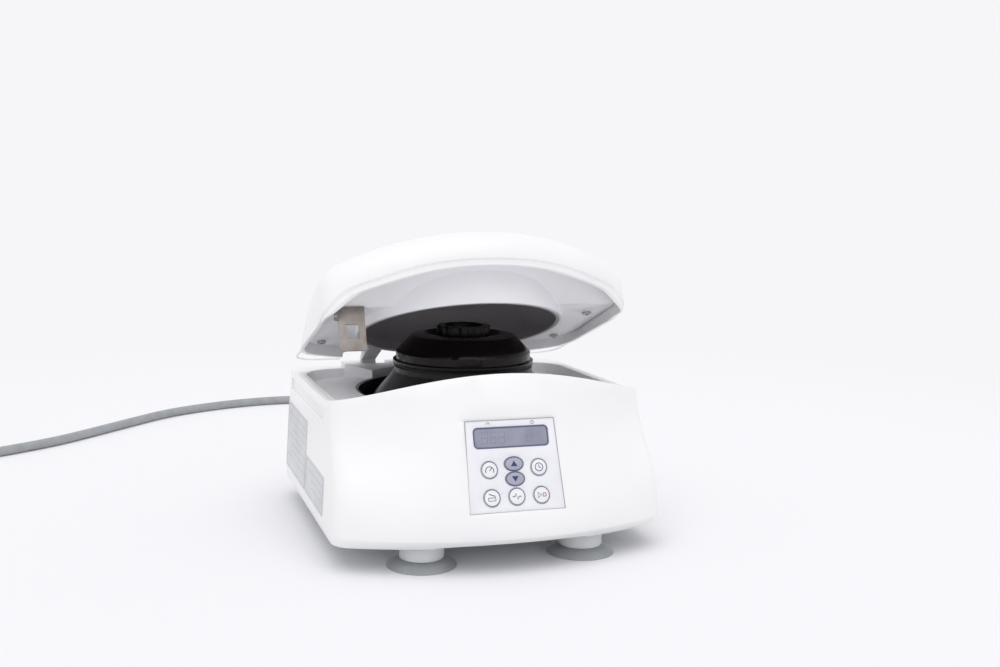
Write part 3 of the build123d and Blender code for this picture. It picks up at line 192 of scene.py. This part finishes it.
def painted_bowl_steel():
    # Pressed steel bowl, painted warm black: slight orange peel in the paint
    material, tree, shader = finish_base("painted_bowl_steel", "#2B2426", 0.38, ior=1.5)
    clouding(tree, shader, "#282123", "#2F282A", 30)
    grain(tree, shader, 2.2, 0.02)
    return material


def black_anodised_aluminium():
    # Turned and black-anodised aluminium: a dark sheen with faint lathe rings about the spindle
    material, tree, shader = finish_base(
        "black_anodised_aluminium", "#0F0A0A", 0.3, specular_ior_level=0.25
    )
    place = node(tree, "ShaderNodeTexCoord")
    centred = node(
        tree, "ShaderNodeMapping", {"Vector": place.outputs["Object"], "Location": (0, -spindle_y, 0)}
    )
    # A lathe's feed of about 0.3 mm is too fine to show, so the rings are drawn this far apart
    ring_spacing = 7.54 * MM
    wave_turn = 20  # radians that the wave texture runs through in a metre at scale 1
    rings = node(
        tree, "ShaderNodeTexWave",
        {
            "Vector": centred.outputs["Vector"], "Scale": 2 * math.pi / (wave_turn * ring_spacing),
            "Distortion": 0.4, "Detail": 2.0,
        },
        wave_type="RINGS", rings_direction="Z",
    )
    raise_surface(tree, shader, rings.outputs["Fac"], 0.006)
    gloss_drift(tree, shader, 0.24, 0.36, 12)
    return material


def polished_black_polycarbonate():
    # Rotor lid: black polycarbonate from a polished tool, deep and glossy
    material, tree, shader = finish_base(
        "polished_black_polycarbonate", "#0B0606", 0.14, specular_ior_level=0.22
    )
    gloss_drift(tree, shader, 0.13, 0.22, 18)
    grain(tree, shader, 6.0, 0.01)
    return material


def black_nylon():
    # Knob: glass-filled nylon, less shiny than the rotor's lid, with a short grain
    material, tree, shader = finish_base("black_nylon", "#0A0606", 0.32, specular_ior_level=0.2)
    grain(tree, shader, 0.9, 0.015)
    gloss_drift(tree, shader, 0.27, 0.4, 8)
    return material


def plated_steel():
    # Zinc-plated pressed steel of the striker: warm grey, rolled grain along the sheet
    material, tree, shader = finish_base("plated_steel", "#9B938D", 0.36, metallic=0.9)
    clouding(tree, shader, "#918983", "#A59D97", 9)
    grain(tree, shader, 0.5, 0.01, stretch=(4, 4, 0.5))
    return material


def ground_steel():
    # Ground shafts, pins and springs
    material, tree, shader = finish_base("ground_steel", "#B9B9BB", 0.28, metallic=1.0)
    gloss_drift(tree, shader, 0.22, 0.36, 3)
    grain(tree, shader, 0.4, 0.003, stretch=(1, 1, 6))
    return material


def grey_painted_steel():
    # Hinge arms: steel under light grey powder coat, with its usual orange peel
    material, tree, shader = finish_base("grey_painted_steel", "#C9C9CC", 0.42, ior=1.5)
    clouding(tree, shader, "#C5C5C8", "#CDCDD0", 12)
    grain(tree, shader, 1.4, 0.02)
    return material


def dark_painted_steel():
    # Motor can and solenoid: dark grey enamel
    material, tree, shader = finish_base("dark_painted_steel", "#55575B", 0.4, ior=1.5)
    clouding(tree, shader, "#505256", "#5A5C60", 15)
    grain(tree, shader, 1.2, 0.015)
    return material


def clear_silicone():
    # Suction cups: milky, half-clear silicone with a smooth skin
    material, tree, shader = finish_base(
        "clear_silicone", "#DDE1E3", 0.3, ior=1.41, transmission_weight=0.55
    )
    clouding(tree, shader, "#D8DDDF", "#E2E5E7", 10)
    grain(tree, shader, 1.5, 0.02)
    return material


def black_rubber():
    # Seals and mounts: matt black rubber
    material, tree, shader = finish_base("black_rubber", "#1D1D1E", 0.7, ior=1.5)
    clouding(tree, shader, "#1A1A1B", "#232324", 5)
    grain(tree, shader, 0.5, 0.02)
    return material


def printed_film():
    # Keypad overlay: polyester film with a fine velvet texture, printed off-white
    material, tree, shader = finish_base("printed_film", "#E9EAEE", 0.42, ior=1.57)
    clouding(tree, shader, "#EDEDF2", "#F1F1F5", 20)
    grain(tree, shader, 0.35, 0.004)
    return material


def display_glass():
    # Display window: grey-lilac reflective display behind clear acrylic
    material, tree, shader = finish_base("display_glass", "#8F90A2", 0.22, ior=1.49, coat_weight=0.6)
    clouding(tree, shader, "#88899B", "#9697A9", 14)
    gloss_drift(tree, shader, 0.18, 0.26, 10)
    return material


def key_film():
    # White key tops under the same film
    material, tree, shader = finish_base("key_film", "#F1F2F5", 0.4, ior=1.57)
    clouding(tree, shader, "#EFF0F3", "#F3F4F6", 6)
    grain(tree, shader, 0.35, 0.004)
    return material


def grey_key_film():
    # Grey-lilac arrow keys under the same film
    material, tree, shader = finish_base("grey_key_film", "#A9ACBA", 0.4, ior=1.57)
    clouding(tree, shader, "#A5A8B7", "#ADB0BD", 6)
    grain(tree, shader, 0.35, 0.004)
    return material


def printing_ink(name, colour):
    # Screen-printed ink on the film: flat, a little rough, with slightly uneven cover. The same finish
    # also carries the painted shade in the gap around the overlay
    material, tree, shader = finish_base(name, colour, 0.45, ior=1.5)
    grain(tree, shader, 0.3, 0.003)
    gloss_drift(tree, shader, 0.4, 0.52, 2)
    return material


def silver_label_film():
    # Label plates: silver polyester, satin, with the metal's fine grain showing through
    material, tree, shader = finish_base("silver_label_film", "#D4D5D8", 0.38, metallic=0.35)
    clouding(tree, shader, "#D0D1D4", "#D9DADC", 18)
    grain(tree, shader, 0.4, 0.003, stretch=(1, 5, 1))
    return material


def circuit_board():
    # Glass-epoxy board under green solder mask, paler where the copper lies under it
    material, tree, shader = finish_base("circuit_board", "#1F5A33", 0.4, ior=1.5)
    clouding(tree, shader, "#1B5430", "#2B6B40", 4, 0.45, 0.5)
    grain(tree, shader, 1.5, 0.03)
    return material


def black_moulding():
    # Black nylon of the inlet, switch and display frame
    material, tree, shader = finish_base("black_moulding", "#1E1E20", 0.45, ior=1.53)
    clouding(tree, shader, "#1B1B1D", "#232325", 10)
    grain(tree, shader, 0.6, 0.012)
    return material


def cord_pvc(name, colour, darker):
    # Extruded grey PVC sheath: a soft sheen over a slightly uneven skin
    material, tree, shader = finish_base(name, colour, 0.45, ior=1.53)
    clouding(tree, shader, darker, colour, 8)
    grain(tree, shader, 0.9, 0.015)
    return material


white_abs = moulded_white_abs()
liner_abs = moulded_lilac_grey_abs()
deck_abs = moulded_light_grey_abs()
pale_abs = moulded_pale_abs()
dome_abs = warm_grey_abs_painted_lighter()
bowl_paint = painted_bowl_steel()
rotor_finish = black_anodised_aluminium()
rotor_lid_finish = polished_black_polycarbonate()
knob_finish = black_nylon()
striker_finish = plated_steel()
bright_steel = ground_steel()
arm_paint = grey_painted_steel()
motor_paint = dark_painted_steel()
silicone = clear_silicone()
rubber = black_rubber()
overlay_film = printed_film()
display_finish = display_glass()
white_key = key_film()
grey_key = grey_key_film()
navy_ink = printing_ink("navy_ink", "#5C607F")
dark_navy_ink = printing_ink("dark_navy_ink", "#34386A")
red_ink = printing_ink("red_ink", "#B8505A")
ghost_ink = printing_ink("ghost_ink", "#77788B")
# Grey line in the gap around the overlay: painted shade, made with the ink's finish
painted_gap_shade = printing_ink("painted_gap_shade", "#A2A3A8")
label_film = silver_label_film()
label_ink = printing_ink("label_ink", "#A9ABAF")
board_finish = circuit_board()
black_nylon_moulding = black_moulding()
sheath = cord_pvc("cord_pvc", "#A2A5A8", "#989B9E")
plug_pvc = cord_pvc("plug_pvc", "#8E9194", "#85888B")

finishes = {
    white_abs: ["upper_housing", "lid_shell"],
    liner_abs: ["lid_liner"],
    dome_abs: ["lid_dome"],
    deck_abs: ["inner_deck"],
    pale_abs: [
        "base_plate", "latch_guide", "board_posts",
        "foot_front_left", "foot_front_right", "foot_rear_left", "foot_rear_right",
    ],
    silicone: [
        "suction_cup_front_left", "suction_cup_front_right",
        "suction_cup_rear_left", "suction_cup_rear_right",
    ],
    bowl_paint: ["chamber_bowl"],
    rotor_finish: ["rotor"],
    rotor_lid_finish: ["rotor_lid"],
    knob_finish: ["rotor_lid_knob"],
    striker_finish: ["striker"],
    arm_paint: ["hinge_arm_left", "hinge_arm_right"],
    bright_steel: [
        "hinge_pin_left", "hinge_pin_right", "hinge_spring_left", "hinge_spring_right", "motor_shaft",
        "motor_bearings", "latch_bolt", "rotor_nut", "housing_screws", "lid_screws",
    ],
    motor_paint: ["motor", "latch_solenoid"],
    rubber: ["bowl_seal", "rotor_lid_seal", "motor_mounts"],
    overlay_film: ["panel_overlay"],
    display_finish: ["lcd_window"],
    white_key: list(keys),
    grey_key: list(arrows),
    board_finish: ["control_board", "power_board"],
    black_nylon_moulding: ["mains_inlet", "switch_frame", "power_rocker", "lcd_module"],
    plug_pvc: ["mains_connector", "mains_plug"],
}
for material, names in finishes.items():
    for name in names:
        for place in nodes[name].material_slots:
            place.material = material

# Moulded edges catch the light: each solid's sharp edges get a small radius, in millimetres
edge_radii = {
    "upper_housing": 0.7, "lid_shell": 0.7, "inner_deck": 0.4, "lid_liner": 0.4, "panel_overlay": 0.15,
    "rotor_lid": 0.5, "rotor_lid_knob": 0.5, "rotor": 0.4, "striker": 0.3, "foot_front_left": 0.4,
    "foot_front_right": 0.4, "mains_connector": 0.5, "mains_plug": 0.6, "hinge_arm_left": 0.4,
    "hinge_arm_right": 0.4, "mains_inlet": 0.3, "switch_frame": 0.3, "power_rocker": 0.3,
    **{name: 0.2 for name in [*keys, *arrows]},
}
sharp_angle = math.radians(32)
for name, solid in nodes.items():
    solid.data.shade_smooth()
    solid.data.set_sharp_from_angle(angle=sharp_angle)
    if name in edge_radii:
        weld = solid.modifiers.new("joined", "WELD")
        weld.merge_threshold = 0.002 * MM
        bevel = solid.modifiers.new("edge", "BEVEL")
        bevel.width = edge_radii[name] * MM
        bevel.segments = 2
        bevel.limit_method = "ANGLE"
        bevel.angle_limit = sharp_angle
        bevel.use_clamp_overlap = True
        bevel.harden_normals = True


# Small pieces


def add_piece(name, data, material, body):
    """Puts new geometry in the scene and ties it to its body."""
    piece = bpy.data.objects.new(name, data)
    bpy.context.scene.collection.objects.link(piece)
    data.materials.append(material)
    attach(piece, body)
    return piece


def on_panel(x, y, out):
    """A point of the keypad's plane: x across, y up the slope, out in front of it, in millimetres."""
    right = Vector((1, 0, 0))
    up = Vector((0, math.sin(panel_lean), math.cos(panel_lean)))
    outward = Vector((0, -math.cos(panel_lean), math.sin(panel_lean)))
    return panel_center + (right * x + up * y + outward * out) * MM


def strokes(name, lines, radius, material, body, place):
    """Round-edged printed lines. Each line is (points, closed), in millimetres on its own surface."""
    curve = bpy.data.curves.new(name, "CURVE")
    curve.dimensions = "3D"
    curve.bevel_depth = radius * MM
    curve.bevel_resolution = 2
    curve.use_fill_caps = True
    for points, closed in lines:
        spline = curve.splines.new("POLY")
        spline.points.add(len(points) - 1)
        for point, target in zip(spline.points, points):
            point.co = (*place(*target), 1)
        spline.use_cyclic_u = closed
    return add_piece(name, curve, material, body)


def arc(center, radius, start, end, steps=24, squeeze=1.0):
    """Points along an arc or, squeezed, an ellipse, with the angles in degrees."""
    turns = [math.radians(start + (end - start) * i / steps) for i in range(steps + 1)]
    return [(center[0] + radius * math.cos(t), center[1] + radius * squeeze * math.sin(t)) for t in turns]


def ring(center, radius, squeeze=1.0):
    """Points of a whole circle or, squeezed, an ellipse, for a closed line."""
    return arc(center, radius, 0, 354, 59, squeeze)


def rounded_rectangle(center, width, height, radius):
    """Outline of a rectangle with round corners."""
    outline = []
    for sx, sy, start in ((1, 1, 0), (-1, 1, 90), (-1, -1, 180), (1, -1, 270)):
        corner = (center[0] + sx * (width / 2 - radius), center[1] + sy * (height / 2 - radius))
        outline += arc(corner, radius, start, start + 90, 8)
    return outline


def film(name, outline, thickness, material, body, place):
    """A thin flat piece with that outline on its surface."""
    mesh = bpy.data.meshes.new(name)
    build = bmesh.new()
    verts = [build.verts.new(place(x, y, 0)) for x, y in outline]
    face = build.faces.new(verts)
    moved = bmesh.ops.extrude_face_region(build, geom=[face])["geom"]
    lift = place(0, 0, thickness) - place(0, 0, 0)
    bmesh.ops.translate(build, vec=lift, verts=[v for v in moved if isinstance(v, bmesh.types.BMVert)])
    bmesh.ops.recalc_face_normals(build, faces=build.faces)
    build.to_mesh(mesh)
    build.free()
    return add_piece(name, mesh, material, body)


# Rings and plain drawn signs on the keys
ring_line, ring_inset, ring_depth = 0.3, 0.35, 0.12
sign_line, sign_depth = 0.26, 0.08


def key_sign(center, name):
    """Lines of a key's sign: a dial, a clock, a lid that opens, a pulse or, for start, a triangle."""
    x, y = center
    if name == "speed_key":
        return [(arc((x, y - 0.6), 2.5, 205, -25), False), ([(x, y - 0.6), (x + 1.3, y + 1.0)], False)]
    if name == "time_key":
        return [(arc((x, y), 2.4, 0, 345), True), ([(x, y + 1.6), (x, y), (x + 1.1, y - 0.5)], False)]
    if name == "door_key":
        tray = [(x - 2.2, y + 0.1), (x - 2.2, y - 1.7), (x + 2.2, y - 1.7), (x + 2.2, y + 0.1)]
        return [(tray, True), ([(x + 2.2, y + 0.9), (x - 1.8, y + 2.4)], False)]
    if name == "pulse_key":
        beat = [(-2.8, 0), (-1.3, 0), (-0.6, 1.7), (0.5, -1.7), (1.2, 0), (2.8, 0)]
        return [([(x + dx, y + dy) for dx, dy in beat], False)]
    return [([(x - 2.3, y + 1.6), (x - 2.3, y - 1.6), (x - 0.1, y)], True)]


for name, center in keys.items():
    strokes(
        f"{name}_ring", [(ring(center, key_radius - ring_inset), True)], ring_line,
        navy_ink, name, lambda x, y: on_panel(x, y, key_face - ring_depth),
    )
    strokes(
        f"{name}_sign", key_sign(center, name), sign_line,
        dark_navy_ink, name, lambda x, y: on_panel(x, y, key_face - sign_depth),
    )
stop_x, stop_y = keys["start_key"]
strokes(
    "stop_sign", [(rounded_rectangle((stop_x + 1.8, stop_y), 1.9, 1.9, 0.3), True)], sign_line,
    red_ink, "start_key", lambda x, y: on_panel(x, y, key_face - sign_depth),
)
for name, (center, way) in arrows.items():
    oval = ring(center, arrow_half[0] - ring_inset, arrow_half[1] / arrow_half[0])
    strokes(
        f"{name}_ring", [(oval, True)], ring_line,
        navy_ink, name, lambda x, y: on_panel(x, y, key_face - ring_depth),
    )
    x, y = center
    tip = [(x - 2.1, y - 1.5 * way), (x + 2.1, y - 1.5 * way), (x, y + 1.8 * way)]
    film(
        f"{name}_sign", tip if way > 0 else tip[::-1], 0.06,
        dark_navy_ink, name, lambda x, y, out: on_panel(x, y, key_face + out),
    )

# Grey line around the overlay, in the gap to the housing: painted shade of the gap
half_top, half_bottom, half_height = 28.0, 29.8, panel_height / 2 + 0.1
gap_shade_corners = [
    (-half_bottom, -half_height), (half_bottom, -half_height),
    (half_top, half_height), (-half_top, half_height),
]
strokes(
    "overlay_gap_shade", [(gap_shade_corners, True)], 0.34,
    painted_gap_shade, "base", lambda x, y: on_panel(x, y, overlay_face - 0.05),
)

# Display: printed frame, and the unlit segments that show through the glass
strokes(
    "display_frame", [(rounded_rectangle(display_center, *display_size, 2.4), True)], 0.5,
    navy_ink, "base", lambda x, y: on_panel(x, y, overlay_face - 0.2),
)
half_digit, half_segment, slant = 3.3, 1.8, 0.12
digits = []
for column in (-16.5, -11.2, -5.9, 11.5):
    corners = [
        (column + side * half_segment + slant * up, display_center[1] + up)
        for up in (-half_digit, 0, half_digit)
        for side in (-1, 1)
    ]
    bottom_left, bottom_right, left, right, top_left, top_right = corners
    digits += [([bottom_left, bottom_right, top_right, top_left], True), ([left, right], False)]
strokes(
    "display_segments", digits, 0.28,
    ghost_ink, "base", lambda x, y: on_panel(x, y, overlay_face - 0.42),
)

# Small signs above the display, one over each reading
strokes(
    "display_signs",
    [
        (arc((-14, 25.1), 1.1, 205, -25, 12), False), ([(-14, 25.1), (-13.4, 25.8)], False),
        (arc((14, 25.3), 1.1, 0, 330, 12), True), ([(14, 25.9), (14, 25.3), (14.5, 25.1)], False),
    ],
    0.13, navy_ink, "base", lambda x, y: on_panel(x, y, overlay_face),
)

# Two label plates low on the left side, each with a ruled field
label_corner, label_thickness = 1.5, 0.25
field_inset, field_corner = 1.5, 1.0
row_pitch, rows_margin, first_row = 5, 8, 7
row_start, long_row_end, short_row_end = 4, 6, 22  # from the plate's two ends
side_draft = 0.05
wall_face = -105.0  # the side at its widest, 21 mm above the bench
wall_face_height = 21.0


def on_side(y, z, out):
    """A point of the left side, y along it and z up, out in front of it, in millimetres."""
    x = wall_face + side_draft * (z - wall_face_height) - out
    return Vector((x, y, z)) * MM


for name, (y_low, y_high), (z_low, z_high) in (
    ("rear_label", (24.0, 103.0), (23.0, 70.0)),
    ("front_label", (-42.0, 22.0), (23.0, 48.0)),
):
    middle = ((y_low + y_high) / 2, (z_low + z_high) / 2)
    width, height = y_high - y_low, z_high - z_low
    film(
        name, rounded_rectangle(middle, width, height, label_corner), label_thickness,
        label_film, "base", on_side,
    )
    border = rounded_rectangle(middle, width - 2 * field_inset, height - 2 * field_inset, field_corner)
    fields = [(border, True)]
    for row in range(int((height - rows_margin) // row_pitch)):
        z = z_high - first_row - row_pitch * row
        row_end = short_row_end if row % 3 else long_row_end
        fields.append(([(y_low + row_start, z), (y_high - row_end, z)], False))
    strokes(
        f"{name}_fields", fields, 0.16, label_ink, "base",
        lambda y, z: on_side(y, z, 0.2),
    )

# Cross recesses in the heads of the lid's screws, drawn as black lines: painted shade in the recesses.
# They are placed on the shut lid and opened with it
recess_arm, recess_height = 1.3, 100.75
for x, y in ((-86.0, -8.0), (86.0, -8.0), (-86.0, 58.0), (86.0, 58.0)):
    cross = [
        ([(x - recess_arm, y), (x + recess_arm, y)], False),
        ([(x, y - recess_arm), (x, y + recess_arm)], False),
    ]
    strokes(
        f"lid_screw_recess_{'left' if x < 0 else 'right'}_{'front' if y < 0 else 'rear'}", cross, 0.35,
        black_nylon_moulding, "lid",
        lambda a, b: lid_place @ (Vector((a, b, recess_height)) * MM),
    )

# Mains cord: from the inlet along the bench, then the rest wound in a coil of two layers
cord_diameter = 0.0078  # in metres
bench_height = 3.9  # of the cord's centre where it lies on the bench
cord_route = [
    (32, 184, 38), (32, 204, 38), (34, 232, 20), (36, 262, 3.9), (35, 300, 3.9), (40, 340, 3.9),
    (36, 382, 3.9), (20, 420, 3.9), (-12, 444, 3.9), (-52, 454, 3.9), (-92, 449, 3.9), (-132, 434, 3.9),
    (-172, 411, 3.9), (-208, 373, 3.9), (-240, 338, 3.9), (-274, 303, 3.9), (-345, 257, 3.9),
]
coil_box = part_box("cord_coil")
coil_x = (coil_box[0][0] + coil_box[1][0]) / 2 / MM
coil_y = (coil_box[0][1] + coil_box[1][1]) / 2 / MM
turn_pitch = 7.85
layer_height = 7.85
coil_inset = 3.95  # from the coil's edge to the centre of the outer turn
narrowing = 2 * turn_pitch  # from the outer turn to the inner one
outer_turn = (coil_box[1][0] - coil_box[0][0]) / 2 / MM - coil_inset
inner_turn = outer_turn - narrowing
steps_per_turn = 16
first_step = 3  # keeps the first turn clear of the route's last point
start_turn = math.atan2(cord_route[-1][1] - coil_y, cord_route[-1][0] - coil_x)


def coil_point(turns, radius, height):
    """A point of the coil, wound clockwise from where the cord comes in."""
    angle = start_turn - 2 * math.pi * turns
    return (coil_x + radius * math.cos(angle), coil_y + radius * math.sin(angle), height)


# The upper layer stops on the coil's left side, where the cord runs on straight into the plug
coil_points = []
lower_turns = 3.0
upper_turns = 2.0 + (start_turn - math.pi) / (2 * math.pi) % 1
wide_turns = 0.5  # at the full radius, before the lower layer narrows
climb_turns = 0.3  # in which the cord climbs to the upper layer
for step in range(first_step, int(lower_turns * steps_per_turn) + 1):
    turns = step / steps_per_turn
    narrowed = max(turns - wide_turns, 0) / (lower_turns - wide_turns)
    coil_points.append(coil_point(turns, outer_turn - narrowed * narrowing, bench_height))
for step in range(1, int(upper_turns * steps_per_turn) + 1):
    turns = step / steps_per_turn
    climb = min(turns / climb_turns, 1)
    radius = inner_turn + turns / upper_turns * narrowing
    coil_points.append(coil_point(lower_turns + turns, radius, bench_height + climb * layer_height))

plug_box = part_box("mains_plug")
plug_x = (plug_box[0][0] + plug_box[1][0]) / 2 / MM
plug_y = plug_box[0][1] / MM
plug_height = 7.9
last_x, last_y, last_height = coil_points[-1]
# These last points are given one by one: off the coil, down a little and straight into the plug
coil_points += [
    (last_x + 0.4, last_y + 9, last_height - 0.6),
    ((last_x + plug_x) / 2, plug_y - 18, plug_height + 1.0),
    (plug_x, plug_y - 7, plug_height),
    (plug_x, plug_y + 1, plug_height),
]

cord_line = bpy.data.curves.new("mains_cord_sheath", "CURVE")
cord_line.dimensions = "3D"
cord_line.bevel_depth = cord_diameter / 2
cord_line.bevel_resolution = 6
cord_line.resolution_u = 8
cord_line.use_fill_caps = True
spline = cord_line.splines.new("NURBS")
all_points = cord_route + coil_points
spline.points.add(len(all_points) - 1)
for point, target in zip(spline.points, all_points):
    point.co = (*(Vector(target) * MM), 1)
spline.order_u = 3
spline.use_endpoint_u = True
cord_piece = add_piece("mains_cord_sheath", cord_line, sheath, "base")
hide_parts("mains_cord", "cord_coil")

# Floor, light and camera

floor_size = 8.0
floor_mesh = bpy.data.meshes.new("floor")
half = floor_size / 2
floor_mesh.from_pydata(
    [(-half, -half, 0), (half, -half, 0), (half, half, 0), (-half, half, 0)], [], [(0, 1, 2, 3)]
)
floor = bpy.data.objects.new("floor", floor_mesh)
bpy.context.scene.collection.objects.link(floor)

backdrop_colour = "#F6F6F9"
floor_colour = "#F5F5F7"


fade_start, fade_end = 0.35, 1.0  # in metres from the middle of the object


def backdrop_floor():
    """Matt white floor that keeps the shadow near the object and fades to the plain backdrop."""
    material, tree, shader = finish_base("backdrop_floor", floor_colour, 0.9)
    shader.inputs["Specular IOR Level"].default_value = 0.1
    place = node(tree, "ShaderNodeNewGeometry")
    away = node(tree, "ShaderNodeVectorMath", {0: place.outputs["Position"]}, operation="LENGTH")
    fade = node(
        tree, "ShaderNodeMapRange",
        {"Value": away.outputs["Value"], "From Min": fade_start, "From Max": fade_end},
        interpolation_type="SMOOTHSTEP",
    )
    rays = node(tree, "ShaderNodeLightPath")
    seen = node(
        tree, "ShaderNodeMath", {0: fade.outputs["Result"], 1: rays.outputs["Is Camera Ray"]},
        operation="MULTIPLY",
    )
    plain = node(tree, "ShaderNodeEmission", {"Color": linear(backdrop_colour), "Strength": 1.0})
    mixed = node(
        tree, "ShaderNodeMixShader",
        {0: seen.outputs["Value"], 1: shader.outputs["BSDF"], 2: plain.outputs["Emission"]},
    )
    tree.links.new(mixed.outputs["Shader"], tree.nodes["Material Output"].inputs["Surface"])
    return material


floor_mesh.materials.append(backdrop_floor())

world = bpy.data.worlds.new("studio")
bpy.context.scene.world = world
world.use_nodes = True
sky = world.node_tree
rays = node(sky, "ShaderNodeLightPath")
# The backdrop is what the camera sees, also through clear pieces and in glossy ones. The rest lights.
visible = node(
    sky, "ShaderNodeMath", {0: rays.outputs["Is Camera Ray"], 1: rays.outputs["Is Transmission Ray"]},
    operation="MAXIMUM",
)
glossy = node(
    sky, "ShaderNodeMath", {0: visible.outputs["Value"], 1: rays.outputs["Is Glossy Ray"]},
    operation="MAXIMUM",
)
lit = node(sky, "ShaderNodeBackground", {"Color": linear("#FDFDFF"), "Strength": 0.8})
shown = node(sky, "ShaderNodeBackground", {"Color": linear(backdrop_colour), "Strength": 1.0})
chosen = node(
    sky, "ShaderNodeMixShader",
    {0: glossy.outputs["Value"], 1: lit.outputs["Background"], 2: shown.outputs["Background"]},
)
sky.links.new(chosen.outputs["Shader"], sky.nodes["World Output"].inputs["Surface"])

softbox_data = bpy.data.lights.new("overhead_softbox", "SUN")
softbox_data.energy = 0.85
softbox_data.angle = math.radians(60)
softbox = bpy.data.objects.new("overhead_softbox", softbox_data)
softbox.location = (-0.3, -0.7, 2.2)
softbox.rotation_euler = (-softbox.location).to_track_quat("-Z", "Y").to_euler()
bpy.context.scene.collection.objects.link(softbox)

# The camera's place and lens follow from the photograph's lines
camera_place = Vector((-232.06, -757.18, 232.42)) * MM
camera_data = bpy.data.cameras.new("camera")
camera_data.sensor_width = 36.0
camera_data.lens = 43.44
camera = bpy.data.objects.new("camera", camera_data)
camera_heading = math.radians(18.553)
camera_dip = math.radians(7.435)
camera_roll = math.radians(0.971)
camera.matrix_world = (
    Matrix.Translation(camera_place)
    @ Matrix.Rotation(-camera_heading, 4, "Z")
    @ Matrix.Rotation(math.pi / 2 - camera_dip, 4, "X")
    @ Matrix.Rotation(camera_roll, 4, "Z")
)
bpy.context.scene.collection.objects.link(camera)
bpy.context.scene.camera = camera
bpy.context.scene.view_settings.view_transform = "Standard"
